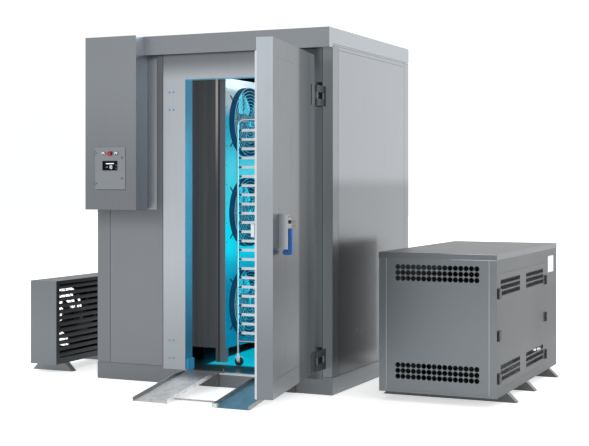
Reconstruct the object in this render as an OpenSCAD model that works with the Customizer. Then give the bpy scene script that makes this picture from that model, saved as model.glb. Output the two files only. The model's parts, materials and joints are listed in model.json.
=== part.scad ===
// Roll-in blast chiller: an insulated walk-in cabinet with a hinged door, a control box on its
// front, a loading ramp, a rack trolley inside, a condensing unit and a remote condenser.
// Origin: centre of the cabinet's base. +X to the right, +Y to the back, +Z up, millimetres.

/* [Cabinet] */
// Outside width of the cabinet
cab_w = 1810; // [1790:10:2100]
// Outside depth of the cabinet
cab_d = 1500; // [1400:10:1800]
// Outside height of the cabinet
cab_h = 2400; // [2380:10:2700]
// Thickness of the insulated wall panels
wall_t = 100; // [80:5:120]
// Height of the floor inside, above the ground
floor_t = 100; // [80:5:120]
// Height of the plinth's edge above the floor inside
plinth_lip = 15; // [8:1:30]
// Thickness of the insulated roof
roof_t = 104; // [80:2:130]
// Height of the recessed joint line under the roof
roof_seam = 13; // [6:1:20]
// Width of the joint lines between panels
seam_w = 4; // [2:0.5:8]
// Depth of the joint lines between panels
seam_in = 5; // [2:0.5:10]
// Width of the corner post in the front wall
post_w = 106; // [80:2:140]
// Depth of the cap along the roof's front edge
fascia_d = 53; // [30:1:90]
// Height of the cap along the roof's front edge
fascia_h = 130; // [100:2:160]

/* [Doorway] */
// Distance of the doorway from the cabinet's right side
door_side = 247; // [235:1:300]
// Clear width of the doorway
way_w = 850; // [800:10:870]
// Height of the wall above the doorway
head_h = 302; // [260:1:420]
// Width of the door frame beside the doorway
frame_w = 176; // [150:1:190]
// Height of the bare metal strip on the threshold
strip_h = 15; // [8:1:25]
// Depth of the threshold strip under the door
strip_d = 60; // [40:1:80]

/* [Door] */
// Thickness of the door leaf
leaf_t = 96; // [70:2:110]
// Gap that the seal fills between leaf and frame
seal_gap = 12; // [8:1:16]
// Width of the door seal
seal_w = 25; // [15:1:30]
// Leaf beyond the doorway on the handle side
lap_free = 37; // [32:1:60]
// Leaf beyond the doorway on the hinge side
lap_hinge = 173; // [120:1:174]
// Leaf above the doorway
lap_top = 112; // [60:1:130]
// Bottom edge of the leaf above the threshold
leaf_lift = 65; // [30:1:90]
// Angle at which the door stands open
door_open = 100.8; // [60:0.1:120]
// Radius of the hinge pin
pin_r = 5; // [4:0.5:7]
// Radius of the hinge knuckles
knuckle_r = 10; // [9:0.5:14]
// Height of each hinge
hinge_h = 132; // [90:2:160]
// Distance of the lower hinge from the leaf's bottom edge
hinge_low = 6; // [0:1:60]
// Distance of the upper hinge from the leaf's top edge
hinge_top = 193; // [60:1:260]

/* [Latch] */
// Distance of the latch's middle from the door's free edge
latch_u = 175; // [150:1:220]
// Height of the latch housing's bottom above the floor inside
latch_z = 907; // [850:1:960]
// Width of the latch housing
latch_w = 70; // [60:1:90]
// Height of the latch housing
latch_h = 203; // [160:1:240]
// Depth of the latch housing
latch_d = 53; // [40:1:60]
// Width of the handle
grip_w = 34; // [28:1:44]
// Thickness of the handle
grip_t = 17; // [14:1:24]
// Height of the handle's grip above its pivot
grip_h = 136; // [110:1:150]
// Radius of the handle's hub
hub_r = 15; // [12:0.5:16]
// Distance of the inner release from the free edge
release_u = 60; // [58:1:90]
// Height of the inner release plate
release_h = 80; // [60:1:100]

/* [Control box] */
// Width of the control box
box_w = 412; // [380:2:440]
// Depth of the control box
box_d = 152; // [120:2:180]
// Height of the control box
box_h = 1200; // [1100:10:1300]
// Sheet thickness of the control box
sheet_t = 3; // [2:0.5:4]
// Distance of the service door from the box's left side
hatch_in = 80; // [60:1:100]
// Width of the service door
hatch_w = 246; // [230:2:260]
// Height of the service door's bottom above the box's bottom
hatch_up = 140; // [100:2:200]
// Height of the service door
hatch_h = 295; // [270:5:340]
// Radius of the start and light buttons
button_r = 11; // [9:0.5:12]
// Radius of the stop button
stop_r = 16; // [14:0.5:18]
// Width of the display
screen_w = 115; // [90:1:130]
// Height of the display
screen_h = 66; // [50:1:80]
// Radius of the service door's locks
lock_r = 8; // [6:0.5:10]

/* [Evaporator] */
// Distance of the fan panel from the doorway's left edge
fan_in = 91; // [80:1:120]
// Distance of the evaporator section's front from the cabinet's front
evap_front = 432; // [400:2:460]
// Open height under the fan panel
evap_gap = 100; // [60:2:140]
// Open height above the fan panel
evap_head = 146; // [100:1:220]
// Width of the column's front
column_w = 81; // [70:1:100]
// Radius of the fan blades
fan_r = 240; // [200:2:250]
// Distance of the highest fan from the fan panel's top
fan_head = 305; // [280:1:340]
// Height of the lowest fan above the floor inside
fan_low = 410; // [380:2:440]
// Distance of the fans from the evaporator section's front
fan_back = 300; // [280:2:360]
// Depth of the fan shrouds in front of the panel
shroud_d = 42; // [30:1:60]
// Distance of the evaporator coil from the fan panel
coil_gap = 230; // [200:5:260]
// Depth of the evaporator coil
coil_d = 190; // [140:5:200]
// Number of blades on a fan
blade_count = 6; // [4:1:8]
// Pitch of the fan blades
blade_tilt = 22; // [12:1:24]
// Number of rings in a fan guard
guard_rings = 9; // [6:1:12]

/* [Trolley] */
// Width of the rack trolley
rack_w = 470; // [450:2:480]
// Depth of the rack trolley
rack_d = 620; // [560:5:700]
// Height of the rack trolley above the floor inside
rack_h = 1739; // [1700:1:1850]
// Distance of the trolley's left side from the doorway's left edge
rack_off = 235; // [228:1:240]
// Distance of the trolley's front from the cabinet's front
rack_in = 313; // [280:1:340]
// Radius of the trolley's tubes
tube_r = 9; // [8:0.5:11]
// Radius of the bends at the trolley's top
bend_r = 48; // [35:1:60]
// Number of rail levels
rail_count = 23; // [16:1:23]
// Distance between rail levels
rail_pitch = 64.6; // [50:0.2:66]
// Height of the lowest rail above the floor inside
rail_low = 233; // [215:1:250]
// Height of a rail
rail_h = 19; // [14:1:22]
// Radius of the castor wheels
wheel_r = 31; // [26:0.5:32]
// Width of the castor wheels
wheel_w = 22; // [16:1:26]
// Height of a castor with its socket
castor_h = 91; // [86:1:110]
// Trail of the castors
castor_trail = 8; // [4:0.5:10]

/* [Ramp] */
// Length of the ramp on the ground
ramp_l = 703; // [600:1:900]
// Width of a wheel track
track_w = 252; // [220:1:260]
// Distance between the middles of the two tracks
track_pitch = 573; // [560:1:590]
// Sheet thickness of the ramp
ramp_t = 3; // [2:0.5:5]
// Height of the tracks' side flanges
ramp_side = 25; // [15:1:35]

/* [Condensing unit] */
// Gap between the cabinet and the condensing unit
unit_gap = 333; // [200:1:500]
// Width of the condensing unit
unit_w = 770; // [700:5:850]
// Depth of the condensing unit
unit_d = 1637; // [1600:5:1800]
// Distance of the unit's front in front of the cabinet's front
unit_fwd = 27; // [0:1:100]
// Height of the unit's casing, without its feet
unit_h = 886; // [840:2:960]
// Height of the feet
foot_h = 60; // [40:1:90]
// Height of the lid's skirt
lid_h = 35; // [25:1:50]
// Width of the casing's corner posts
corner_w = 48; // [40:1:60]
// Diameter of a vent hole
hole_d = 29; // [20:0.5:31]
// Sideways distance between vent holes
hole_px = 34.4; // [33:0.1:36]
// Upright distance between vent holes
hole_pz = 36; // [33:0.1:38]
// Width of the unit's side door
side_w = 1245; // [1200:5:1300]
// Height of the unit's side door
side_h = 714; // [680:2:730]
// Radius of the compressor
comp_r = 115; // [90:1:140]

/* [Remote condenser] */
// Gap between the cabinet and the condenser
cond_gap = 393; // [250:1:500]
// Depth of the condenser's casing
cond_w = 226; // [200:2:280]
// Length of the condenser
cond_l = 880; // [800:5:1100]
// Height of the condenser's casing, without its feet
cond_h = 609; // [560:1:650]
// Distance of the condenser's front behind the cabinet's front
cond_back = 58; // [0:1:150]
// Number of slats in the condenser's air inlet
slat_count = 12; // [8:1:14]
// Radius of the condenser's fan blades
cond_fan_r = 218; // [180:2:225]

/* [Hidden] */
$fn = 48;

// Clearances
e = 0.01;         // overcut of a hole through a face
run = 0.05;       // radial clearance of a pin or shaft in its bore
gap = 0.3;        // gap between pieces that move past each other

// Colours
steel = [0.55, 0.57, 0.59];
pale_steel = [0.75, 0.77, 0.79];
dark_steel = [0.30, 0.31, 0.33];
rubber = [0.10, 0.10, 0.11];
black = [0.07, 0.08, 0.09];
brass = [0.70, 0.57, 0.36];
blue = [0.20, 0.37, 0.66];
cyan = [0.20, 0.85, 0.95];
white = [0.93, 0.94, 0.95];

// Cabinet
half_w = cab_w / 2;
front_y = -cab_d / 2;
rear_y = cab_d / 2;
in_x = half_w - wall_t;
in_y = rear_y - wall_t;
plinth_h = floor_t + plinth_lip;
wall_z0 = plinth_h + seam_w;
wall_z1 = cab_h - roof_t - roof_seam;
wall_h = wall_z1 - wall_z0;
ceiling_z = cab_h - roof_t;
fascia_z = cab_h - fascia_h;
box_x1 = -half_w + box_w;

// Doorway and door, in the door's closed place
way_x1 = half_w - door_side;
way_x0 = way_x1 - way_w;
way_z1 = cab_h - head_h;
frame_x0 = way_x0 - frame_w;
frame_x1 = way_x1 + frame_w;
leaf_x0 = way_x0 - lap_free;
leaf_x1 = way_x1 + lap_hinge;
leaf_y1 = front_y - seal_gap;
leaf_y0 = leaf_y1 - leaf_t;
leaf_z0 = floor_t + leaf_lift;
leaf_z1 = way_z1 + lap_top;
liner_t = 2;
hinge_x = leaf_x1 + knuckle_r + 3;
hinge_y = leaf_y0 - knuckle_r - 2;
hinge_z = [leaf_z0 + hinge_low, leaf_z1 - hinge_top - hinge_h];
knuckle_h = hinge_h / 3;

// Latch on the door's outer face
latch_x = leaf_x0 + latch_u;
latch_z0 = floor_t + latch_z;
pivot_r = 4;
pivot_y = leaf_y0 - hub_r - 16;
pivot_z = latch_z0 - hub_r - 3;
lug_w = 10;
grip_y = leaf_y0 - latch_d - 1;
cylinder_z = latch_z0 + 0.77 * latch_h;
cylinder_r = 11;
cylinder_l = 9;
key_r = 2.5;
release_x = leaf_x0 + release_u;
release_z = latch_z0 + 0.54 * latch_h;
release_out = 45;
release_t = 20;
release_w = 32;
release_rod_r = 7;

// Control box
box_x0 = -half_w;
box_y0 = front_y - box_d;
box_z0 = cab_h - box_h;
hatch_x0 = box_x0 + hatch_in;
hatch_x1 = hatch_x0 + hatch_w;
hatch_z0 = box_z0 + hatch_up;
hatch_z1 = hatch_z0 + hatch_h;
hatch_t = 4;
hatch_y0 = box_y0 - 1;
hatch_gap = 1;
hatch_pin_r = 1.5;
hatch_knuckle_r = 3.5;
hatch_arm = 14;
hatch_axis_x = hatch_x0 - 4;
hatch_axis_y = hatch_y0 - hatch_knuckle_r - 0.5;
hatch_hinge_h = 24;
hatch_hinge_z = [hatch_z0 + 30, hatch_z1 - 30 - hatch_hinge_h];
button_z = hatch_z1 - 47;
button_x = [hatch_x0 + 71, hatch_x0 + 121, hatch_x0 + 175];
button_out = 6;
bezel_t = 3;
stem_r = 7;
screen_x = hatch_x0 + hatch_w / 2 - 1;
screen_z = hatch_z0 + 165;
screen_t = 7;
lock_x = hatch_x1 - 28;
lock_z = [hatch_z0 + 77, hatch_z0 + 220];

// Evaporator section
fan_x = way_x0 + fan_in;
evap_y = front_y + evap_front;
evap_z = floor_t + evap_gap;
skin_t = 3;
fan_y = evap_y + fan_back;
panel_z1 = wall_z1 - evap_head;
fan_pitch = (panel_z1 - fan_head - floor_t - fan_low) / 2;
fan_z = [for (i = [0 : 2]) floor_t + fan_low + i * fan_pitch];
shroud_t = 6;
guard_wire = 4;
shroud_gap = 6;
shroud_r = fan_r + shroud_gap;
motor_r = 55;
motor_l = 80;
hub_d = 34;
blade_t = 3;
shaft_r = 9;
rotor_x = fan_x + shroud_d - 52;
motor_back = 54;
motor_bore = 60;

// Trolley
rack_x0 = way_x0 + rack_off;
rack_x1 = rack_x0 + rack_w;
rack_y0 = front_y + rack_in;
rack_y1 = rack_y0 + rack_d;
rack_z1 = floor_t + rack_h;
castor_z = floor_t + castor_h;
wheel_z = floor_t + wheel_r + gap;
axle_r = 4;
stem_z = castor_z + 20;
fork_t = 3;
rail_t = 2;
bar_z = floor_t + rail_low - 59;
rail_x0 = rack_x0 + 2 * tube_r + 14;
rail_x1 = rack_x1 - 2 * tube_r - 14;
posts = [
    [rack_x0 + tube_r, rack_y0 + tube_r], [rack_x1 - tube_r, rack_y0 + tube_r],
    [rack_x0 + tube_r, rack_y1 - tube_r], [rack_x1 - tube_r, rack_y1 - tube_r]
];

// Ramp
tracks = [for (s = [-1, 1]) (way_x0 + way_x1 + s * track_pitch) / 2];
pin_x = tracks[0] + track_w / 2 + 28;
tab_x = pin_x + 8;
ramp_y1 = front_y - gap;
ramp_y0 = ramp_y1 - ramp_l;
ramp_top = floor_t - 0.5;
lip_d = 18;
pin_h = 30;

// Condensing unit
unit_x0 = half_w + unit_gap;
unit_x1 = unit_x0 + unit_w;
unit_y0 = front_y - unit_fwd;
unit_y1 = unit_y0 + unit_d;
unit_z1 = foot_h + unit_h;
case_z1 = unit_z1 - lid_h;
case_t = 3;
pan_t = 15;
vent_z = [foot_h + 137, case_z1 - 92];
side_y0 = unit_y0 + 35;
side_y1 = side_y0 + side_w;
corner_d = side_y0 - unit_y0 - 1;
side_z0 = foot_h + 52;
side_z1 = side_z0 + side_h;
side_t = 22;
hinge_leaf = 25;
hinge_leaf_t = 4;
hinge_set = 7;
side_axis_x = unit_x1 + 8;
side_axis_y = side_y1 + 2;
latch_pos_y = side_y0 + 18;
side_pin_r = 3;
side_knuckle_r = 6;
fitting_h = 64;
fitting_z = [side_z0 + 66, side_z0 + 330, side_z1 - 123];
window_y = [side_y1 + 85, unit_y1 - 83];
window_z = [case_z1 - 166, case_z1 - 47];

// Remote condenser
cond_x1 = -half_w - cond_gap;
cond_x0 = cond_x1 - cond_w;
cond_y0 = front_y + cond_back;
cond_y1 = cond_y0 + cond_l;
cond_z1 = foot_h + cond_h;
cond_fan_y = (cond_y0 + cond_y1) / 2;
cond_fan_x = cond_x0 + 0.42 * cond_w;
cond_fan_z = (foot_h + cond_z1) / 2;
louvre_y = [cond_y0 + 40, cond_y1 - 40];
louvre_z = [foot_h + 42, cond_z1 - 26];
slat_pitch = (louvre_z[1] - louvre_z[0]) / slat_count;
foot_d = 55;
foot_splay = 62;
foot_t = 3;

// A block between two opposite corners
module block(lo, hi) {
    translate(lo) cube([hi[0] - lo[0], hi[1] - lo[1], hi[2] - lo[2]]);
}

// A cylinder along X from a point
module rod_x(p, r, l) {
    translate(p) rotate([0, 90, 0]) cylinder(r = r, h = l);
}

// A cylinder along -Y from a point
module rod_out(p, r, l) {
    translate(p) rotate([90, 0, 0]) cylinder(r = r, h = l);
}

// Puts pieces drawn on the closed door where the open door carries them
module on_door() {
    translate([hinge_x, hinge_y, 0]) rotate([0, 0, door_open])
        translate([-hinge_x, -hinge_y, 0]) children();
}

// Insulated panel, outer face at y = 0, with set-back edges that form the joint lines
module wall_panel(w, h) {
    union() {
        translate([0, seam_in, 0]) cube([w, wall_t - seam_in, h]);
        translate([seam_w / 2, 0, 0]) cube([w - seam_w, seam_in, h]);
    }
}

module floor_panel() color(steel) difference() {
    union() {
        block([-half_w, front_y, 0], [half_w, rear_y, plinth_h]);
        block([-half_w + seam_in, front_y + seam_in, plinth_h],
              [half_w - seam_in, rear_y - seam_in, wall_z0]);
    }
    block([-in_x, -in_y, floor_t], [in_x, in_y, wall_z0 + 1]);
    block([frame_x0, front_y - 1, floor_t], [frame_x1, 1 - in_y, wall_z0 + 1]);
    block([way_x0, front_y - 1, floor_t - strip_h], [way_x1, front_y + strip_d, floor_t + 1]);
}

module left_wall() color(steel)
    translate([-half_w, in_y, wall_z0]) rotate([0, 0, -90]) wall_panel(2 * in_y, wall_h);

module right_wall() color(steel)
    translate([half_w, -in_y, wall_z0]) rotate([0, 0, 90]) wall_panel(2 * in_y, wall_h);

// The rear wall is two panels
module rear_wall() color(steel) {
    translate([half_w, rear_y, wall_z0]) rotate([0, 0, 180]) wall_panel(half_w, wall_h);
    translate([0, rear_y, wall_z0]) rotate([0, 0, 180]) wall_panel(half_w, wall_h);
}

// Corner post, the panel behind the control box and the strip beside the hinges
module front_wall() color(steel) {
    translate([-half_w, front_y, wall_z0]) wall_panel(post_w, wall_h);
    translate([-half_w + post_w, front_y, wall_z0])
        wall_panel(frame_x0 + half_w - post_w, wall_h);
    translate([frame_x1, front_y, wall_z0]) wall_panel(half_w - frame_x1, wall_h);
}

module door_frame() color(steel) translate([0, front_y, 0]) difference() {
    translate([frame_x0, 0, floor_t]) wall_panel(frame_x1 - frame_x0, wall_z1 - floor_t);
    block([way_x0, -1, floor_t - 1], [way_x1, wall_t + 1, way_z1]);
}

// Bare metal angle on the threshold's edge, with rebates that the ramp's lips lie in
module threshold_strip() color(pale_steel) difference() {
    lips = [[tracks[0] - track_w / 2, tab_x], [tracks[1] - track_w / 2, tracks[1] + track_w / 2]];
    block([way_x0, front_y, floor_t - strip_h], [way_x1, front_y + strip_d, floor_t]);
    for (l = lips) block([l[0] - gap, front_y - 1, ramp_top - ramp_t - gap],
                         [l[1] + gap, front_y + lip_d + gap, floor_t + 1]);
}

module roof_panel() color(steel) union() {
    block([-half_w, front_y, ceiling_z], [half_w, rear_y, cab_h]);
    block([-half_w + seam_in, front_y + seam_in, wall_z1],
          [half_w - seam_in, rear_y - seam_in, ceiling_z]);
}

// Folded cap along the roof's front edge, from the control box to the right side
module roof_fascia() color(steel) difference() {
    block([box_x1, front_y - fascia_d, fascia_z], [half_w, front_y, cab_h]);
    block([box_x1 + sheet_t, front_y - fascia_d + sheet_t, fascia_z + sheet_t],
          [half_w - sheet_t, front_y + 1, cab_h - sheet_t]);
    block([box_x1 + sheet_t, front_y - fascia_d + 20, fascia_z - 1],
          [half_w - sheet_t, front_y + 1, fascia_z + sheet_t + 1]);
}

// Front baffle and column of the evaporator section
module evaporator_housing() color(dark_steel) {
    column_x0 = fan_x - column_w;
    block([-in_x, evap_y, evap_z], [column_x0, evap_y + skin_t, wall_z1]);
    difference() {
        block([column_x0, evap_y - 4, floor_t], [fan_x - skin_t, evap_y + 42, wall_z1]);
        block([column_x0 + skin_t, evap_y - 4 + skin_t, floor_t - 1],
              [fan_x - 2 * skin_t, evap_y + 60, wall_z1 - 20]);
        block([column_x0 + 42, evap_y - 5, floor_t - 1], [column_x0 + 46, evap_y - 3, wall_z1 + 1]);
    }
    block([fan_x - 60, in_y - 42, floor_t], [fan_x - skin_t, in_y, wall_z1]);
}

module fan_panel() color(white) difference() {
    block([fan_x - skin_t, evap_y - 4, evap_z], [fan_x, in_y, panel_z1]);
    for (z = fan_z) rod_x([fan_x - skin_t - 1, fan_y, z], shroud_r + shroud_t + 0.2, skin_t + 2);
}

// Finned block on two rails, behind the fans
module evaporator_coil() color(pale_steel) {
    coil_x = [fan_x - coil_gap - coil_d, fan_x - coil_gap];
    coil_y = [evap_y + 90, in_y - 90];
    coil_z = [evap_z + 60, panel_z1 - 60];
    fins = 36;
    fin_pitch = (coil_y[1] - coil_y[0]) / fins;
    for (y = coil_y) block([coil_x[0], y - 2, floor_t], [coil_x[1], y + 2, coil_z[1]]);
    block([coil_x[0] + 10, coil_y[0], coil_z[0]], [coil_x[1] - 10, coil_y[1], coil_z[1] - 5]);
    for (i = [0.5 : fins - 0.5])
        block([coil_x[0] + 5, coil_y[0] + i * fin_pitch - 2, coil_z[0]],
              [coil_x[1] - 5, coil_y[0] + i * fin_pitch + 2, coil_z[1] - 5]);
}

// Rings round the fans, each with its motor on three arms
module fan_shrouds() color(dark_steel) for (z = fan_z) translate([fan_x - skin_t, fan_y, z]) {
    arm_x = -motor_back - 7;
    difference() {
        rod_x([arm_x - 3, 0, 0], shroud_r + shroud_t, skin_t + shroud_d - arm_x + 3);
        rod_x([arm_x - 4, 0, 0], shroud_r, skin_t + shroud_d - arm_x + 5);
    }
    for (a = [90 : 120 : 330]) rotate([a, 0, 0])
        block([arm_x, motor_r - 5, -12], [arm_x + 6, shroud_r + 2, 12]);
    difference() {
        rod_x([-motor_back - motor_l, 0, 0], motor_r, motor_l);
        rod_x([-motor_back - motor_bore, 0, 0], shaft_r + run, motor_bore + 1);
    }
}

// Concentric rings of wire joined by spokes, on the plane x = 0
module wire_guard(r0, r1, rings, spokes, wire) {
    step = (r1 - r0) / rings;
    rotate([0, 90, 0]) for (i = [0 : rings]) translate([0, 0, wire - 1]) difference() {
        cylinder(r = r0 + i * step, h = wire);
        translate([0, 0, -1]) cylinder(r = r0 + i * step - wire, h = wire + 2);
    }
    for (a = [0 : 360 / spokes : 359]) rotate([a, 0, 0])
        block([0, r0 - wire, -wire / 2], [wire, r1, wire / 2]);
}

module fan_guards() color(pale_steel) for (z = fan_z) translate([fan_x + shroud_d, fan_y, z])
    wire_guard(40, shroud_r + shroud_t, guard_rings, 6, guard_wire);

// Lamps inside the front wall, left and right of the doorway
module light_bars() color(cyan) for (x = [way_x0 - 60, way_x1 + 60])
    difference() {
        block([x - 18, -in_y, floor_t + 200], [x + 18, 24 - in_y, way_z1 - 100]);
        block([x - 19, 18 - in_y, floor_t + 199], [x - 12, 25 - in_y, way_z1 - 99]);
        block([x + 12, 18 - in_y, floor_t + 199], [x + 19, 25 - in_y, way_z1 - 99]);
    }

// Hinge brackets with their pins, plugs in the spare hinge holes and the guard at the jamb's foot
module frame_fittings() color(steel) {
    for (z = hinge_z) {
        for (k = [0, 2]) translate([0, 0, z + k * knuckle_h]) {
            translate([hinge_x, hinge_y, 0]) cylinder(r = knuckle_r, h = knuckle_h);
            block([hinge_x + 4, hinge_y, 0], [hinge_x + knuckle_r, front_y, knuckle_h]);
        }
        block([hinge_x + 4, front_y - 8, z], [hinge_x + 14, front_y, z + hinge_h]);
        translate([hinge_x, hinge_y, z]) cylinder(r = pin_r, h = hinge_h);
        for (x = [frame_x0 + 52, frame_x0 + 84], k = [0, 1])
            rod_out([x, front_y, z + 5 + k * (hinge_h - 10)], 6, 2);
    }
    block([way_x0, front_y + 12, floor_t], [way_x0 + 18, front_y + 96, floor_t + 76]);
}

// One fan wheel turning about X, with its shaft reaching back by shaft_l
module fan_wheel(r, shaft_l) {
    root = 0.2 * r;
    steps = 6;
    function edge(q, a) = (root + (r - root) * q) * [cos(a), sin(a)];
    lead = [for (i = [0 : steps]) edge(i / steps, 14 + 4 * i / steps + 14 * pow(i / steps, 2))];
    trail = [for (i = [steps : -1 : 0]) edge(i / steps, 14 * pow(i / steps, 2) - 28 - 6 * i / steps)];
    rod_x([-hub_d / 2, 0, 0], 0.26 * r, hub_d);
    for (k = [0 : blade_count - 1]) rotate([k * 360 / blade_count, 0, 0]) rotate([0, 90, 0])
        rotate([blade_tilt, 0, 0]) translate([0, 0, -blade_t / 2])
            linear_extrude(blade_t) polygon(concat(lead, trail));
    rod_x([-shaft_l, 0, 0], shaft_r, shaft_l);
}

module cabinet_fan(i) color(dark_steel) translate([rotor_x, fan_y, fan_z[i]])
    fan_wheel(fan_r, rotor_x - fan_x + skin_t + motor_back + motor_bore - 10);

module upper_fan() cabinet_fan(2);
module middle_fan() cabinet_fan(1);
module lower_fan() cabinet_fan(0);

module door_leaf() color(steel) on_door() difference() {
    block([leaf_x0, leaf_y0, leaf_z0], [leaf_x1, leaf_y1 - liner_t, leaf_z1]);
    door_seam(leaf_z1 - 110);
    door_seam(leaf_z0 + 105);
    rod_out([release_x, leaf_y1, release_z], release_rod_r + run, 40);
}

// Pressed line across the door's outer face
module door_seam(z) {
    block([leaf_x0 + 60, leaf_y0 - 1, z], [leaf_x1 - 60, leaf_y0 + 1.5, z + 3]);
}

module door_liner() color(pale_steel) on_door() difference() {
    block([leaf_x0, leaf_y1 - liner_t, leaf_z0], [leaf_x1, leaf_y1, leaf_z1]);
    rod_out([release_x, leaf_y1 + 1, release_z], release_rod_r + run, liner_t + 2);
}

// Seal round the leaf's inner face and the strip under the leaf
module door_seals() color(rubber) on_door() {
    seal_y1 = front_y - gap - 0.4;
    seal_z1 = way_z1 + 36;
    difference() {
        block([way_x0 - 6 - seal_w, leaf_y1, leaf_z0],
              [way_x1 + 6 + seal_w, seal_y1, seal_z1]);
        block([way_x0 - 6, leaf_y1 - 1, leaf_z0 - 1], [way_x1 + 6, seal_y1 + 1, seal_z1 - seal_w]);
        block([way_x0 - 16, leaf_y1 + 5, leaf_z0 - 1],
              [way_x1 + 16, leaf_y1 + 8, seal_z1 - seal_w + 10]);
    }
    block([way_x0 + 10, leaf_y1 - 30, leaf_z0 - 8], [way_x1 - 10, leaf_y1 - 8, leaf_z0]);
}

// Straps on the leaf, each with the middle knuckle
module door_hinges() color(steel) on_door() for (z = hinge_z) difference() {
    union() {
        translate([hinge_x, hinge_y, z + knuckle_h + gap])
            cylinder(r = knuckle_r, h = knuckle_h - 2 * gap);
        block([leaf_x1 - 100, leaf_y0 - 8, z + knuckle_h + gap],
              [hinge_x, leaf_y0, z + 2 * knuckle_h - gap]);
        block([leaf_x1 - 100, leaf_y0 - 8, z], [leaf_x1 - 30, leaf_y0, z + hinge_h]);
    }
    translate([hinge_x, hinge_y, z - 1]) cylinder(r = pin_r + run, h = hinge_h + 2);
}

// Box with a sloping top, and a lug under it that holds the handle's pin
module latch_housing() color(pale_steel) on_door() translate([latch_x, leaf_y0, latch_z0]) {
    slope = [14, 22];
    translate([-latch_w / 2, 0, 0]) rotate([90, 0, 90]) linear_extrude(latch_w)
        polygon([[0, 0], [0, latch_h], [slope[0] - latch_d, latch_h - 6],
                 [-latch_d, latch_h - slope[1]], [-latch_d, 0]]);
    translate([-lug_w / 2, pivot_y - leaf_y0, pivot_z - latch_z0]) rotate([90, 0, 90])
        linear_extrude(lug_w) union() {
            circle(r = 9);
            translate([-9, 0]) square([18, hub_r + 4]);
        }
    rod_x([3 - grip_w / 2, pivot_y - leaf_y0, pivot_z - latch_z0], pivot_r, grip_w - 6);
}

module lock_cylinder() color(brass) on_door()
    difference() {
        rod_out([latch_x, leaf_y0 - latch_d, cylinder_z], cylinder_r, cylinder_l);
        rod_out([latch_x, leaf_y0 - latch_d - 4, cylinder_z], key_r + run, cylinder_l);
    }

// Hooked handle: a forked hub on the pin, a foot under the housing and an upright grip
module latch_handle() color(blue) on_door() translate([latch_x, pivot_y, pivot_z])
    difference() {
        reach = pivot_y - grip_y + grip_t;
        slot = lug_w / 2 + gap;
        translate([-grip_w / 2, 0, 0]) rotate([90, 0, 90]) linear_extrude(grip_w) union() {
            circle(r = hub_r);
            translate([-reach + 12, -hub_r]) square([reach - 12, 2 * hub_r]);
            translate([-reach, -hub_r + 12]) square([grip_t, grip_h - 12 + hub_r - 4]);
            translate([-reach + 12, -hub_r + 12]) circle(r = 12);
            translate([-reach + 4, grip_h - 4]) square([grip_t - 8, 4]);
            translate([-reach + 4, grip_h - 4]) circle(r = 4);
            translate([-reach + grip_t - 4, grip_h - 4]) circle(r = 4);
        }
        rod_x([2 - grip_w / 2, 0, 0], pivot_r + run, grip_w - 4);
        block([-slot, -hub_r + 3, -hub_r - 1], [slot, hub_r + 1, hub_r + 1]);
    }

// Key in the lock, with a round tag on its ring
module lock_key() color(brass) on_door() translate([latch_x, leaf_y0 - latch_d, cylinder_z]) {
    bow = 9;
    bow_y = -28;
    link = 6;
    tag = 9;
    flat_t = 3;
    rod_out([0, -5, 0], key_r, -5 - bow_y - bow + 3);
    translate([-flat_t / 2, bow_y, 0]) rotate([0, 90, 0]) {
        difference() {
            cylinder(r = bow, h = flat_t);
            translate([0, 0, -1]) cylinder(r = bow - 4, h = flat_t + 2);
        }
        translate([bow + link - 2, 0, 0.5]) difference() {
            cylinder(r = link, h = 2);
            translate([0, 0, -1]) cylinder(r = link - 2, h = 4);
        }
        translate([bow + 2 * link + tag - 5, 0, 0]) difference() {
            cylinder(r = tag, h = flat_t);
            translate([0, 0, -1]) cylinder(r = tag - 5, h = flat_t + 2);
        }
    }
}

// Inner release: a rounded push plate on a rod
module release_knob() color(pale_steel) on_door() translate([release_x, leaf_y1, release_z]) {
    corner = 8;
    translate([0, release_out, 0]) rotate([90, 0, 0]) linear_extrude(release_t) hull()
        for (sx = [-1, 1], sz = [-1, 1])
            translate([sx * (release_w / 2 - corner), sz * (release_h / 2 - corner)])
                circle(r = corner, $fn = 32);
    rod_out([0, release_out - release_t, 0], release_rod_r, release_out - release_t + 20);
}

module control_box() color(steel) {
    difference() {
        block([box_x0, box_y0, box_z0], [box_x1, front_y, cab_h]);
        block([box_x0 + sheet_t, box_y0 + sheet_t, box_z0 + sheet_t],
              [box_x1 - sheet_t, front_y - sheet_t, cab_h - sheet_t]);
        block([hatch_x0, box_y0 - 1, hatch_z0], [hatch_x1, box_y0 + sheet_t + 1, hatch_z1]);
    }
    for (z = hatch_hinge_z) {
        third = hatch_hinge_h / 3;
        translate([hatch_axis_x, hatch_axis_y, z]) cylinder(r = hatch_pin_r, h = hatch_hinge_h);
        for (k = [0, 2]) {
            translate([hatch_axis_x, hatch_axis_y, z + k * third])
                cylinder(r = hatch_knuckle_r, h = third);
            block([hatch_axis_x - hatch_knuckle_r, hatch_axis_y, z + k * third],
                  [hatch_axis_x, box_y0, z + (k + 1) * third]);
        }
    }
}

// Mounting plate with contactors on two rails
module control_gear() color(white) {
    plate_y = front_y - sheet_t;
    block([box_x0 + 40, plate_y - 2, box_z0 + box_h / 15],
          [box_x1 - 40, plate_y, box_z0 + 0.58 * box_h]);
    for (k = [0.16, 0.29, 0.45]) translate([0, 0, box_z0 + k * box_h]) {
        block([box_x0 + 60, plate_y - 9, -17], [box_x1 - 60, plate_y - 2, 17]);
        for (i = [0 : 4])
            block([box_x0 + 72 + i * 54, plate_y - 80, -42],
                  [box_x0 + 118 + i * 54, plate_y - 9, 42]);
    }
}

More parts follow.
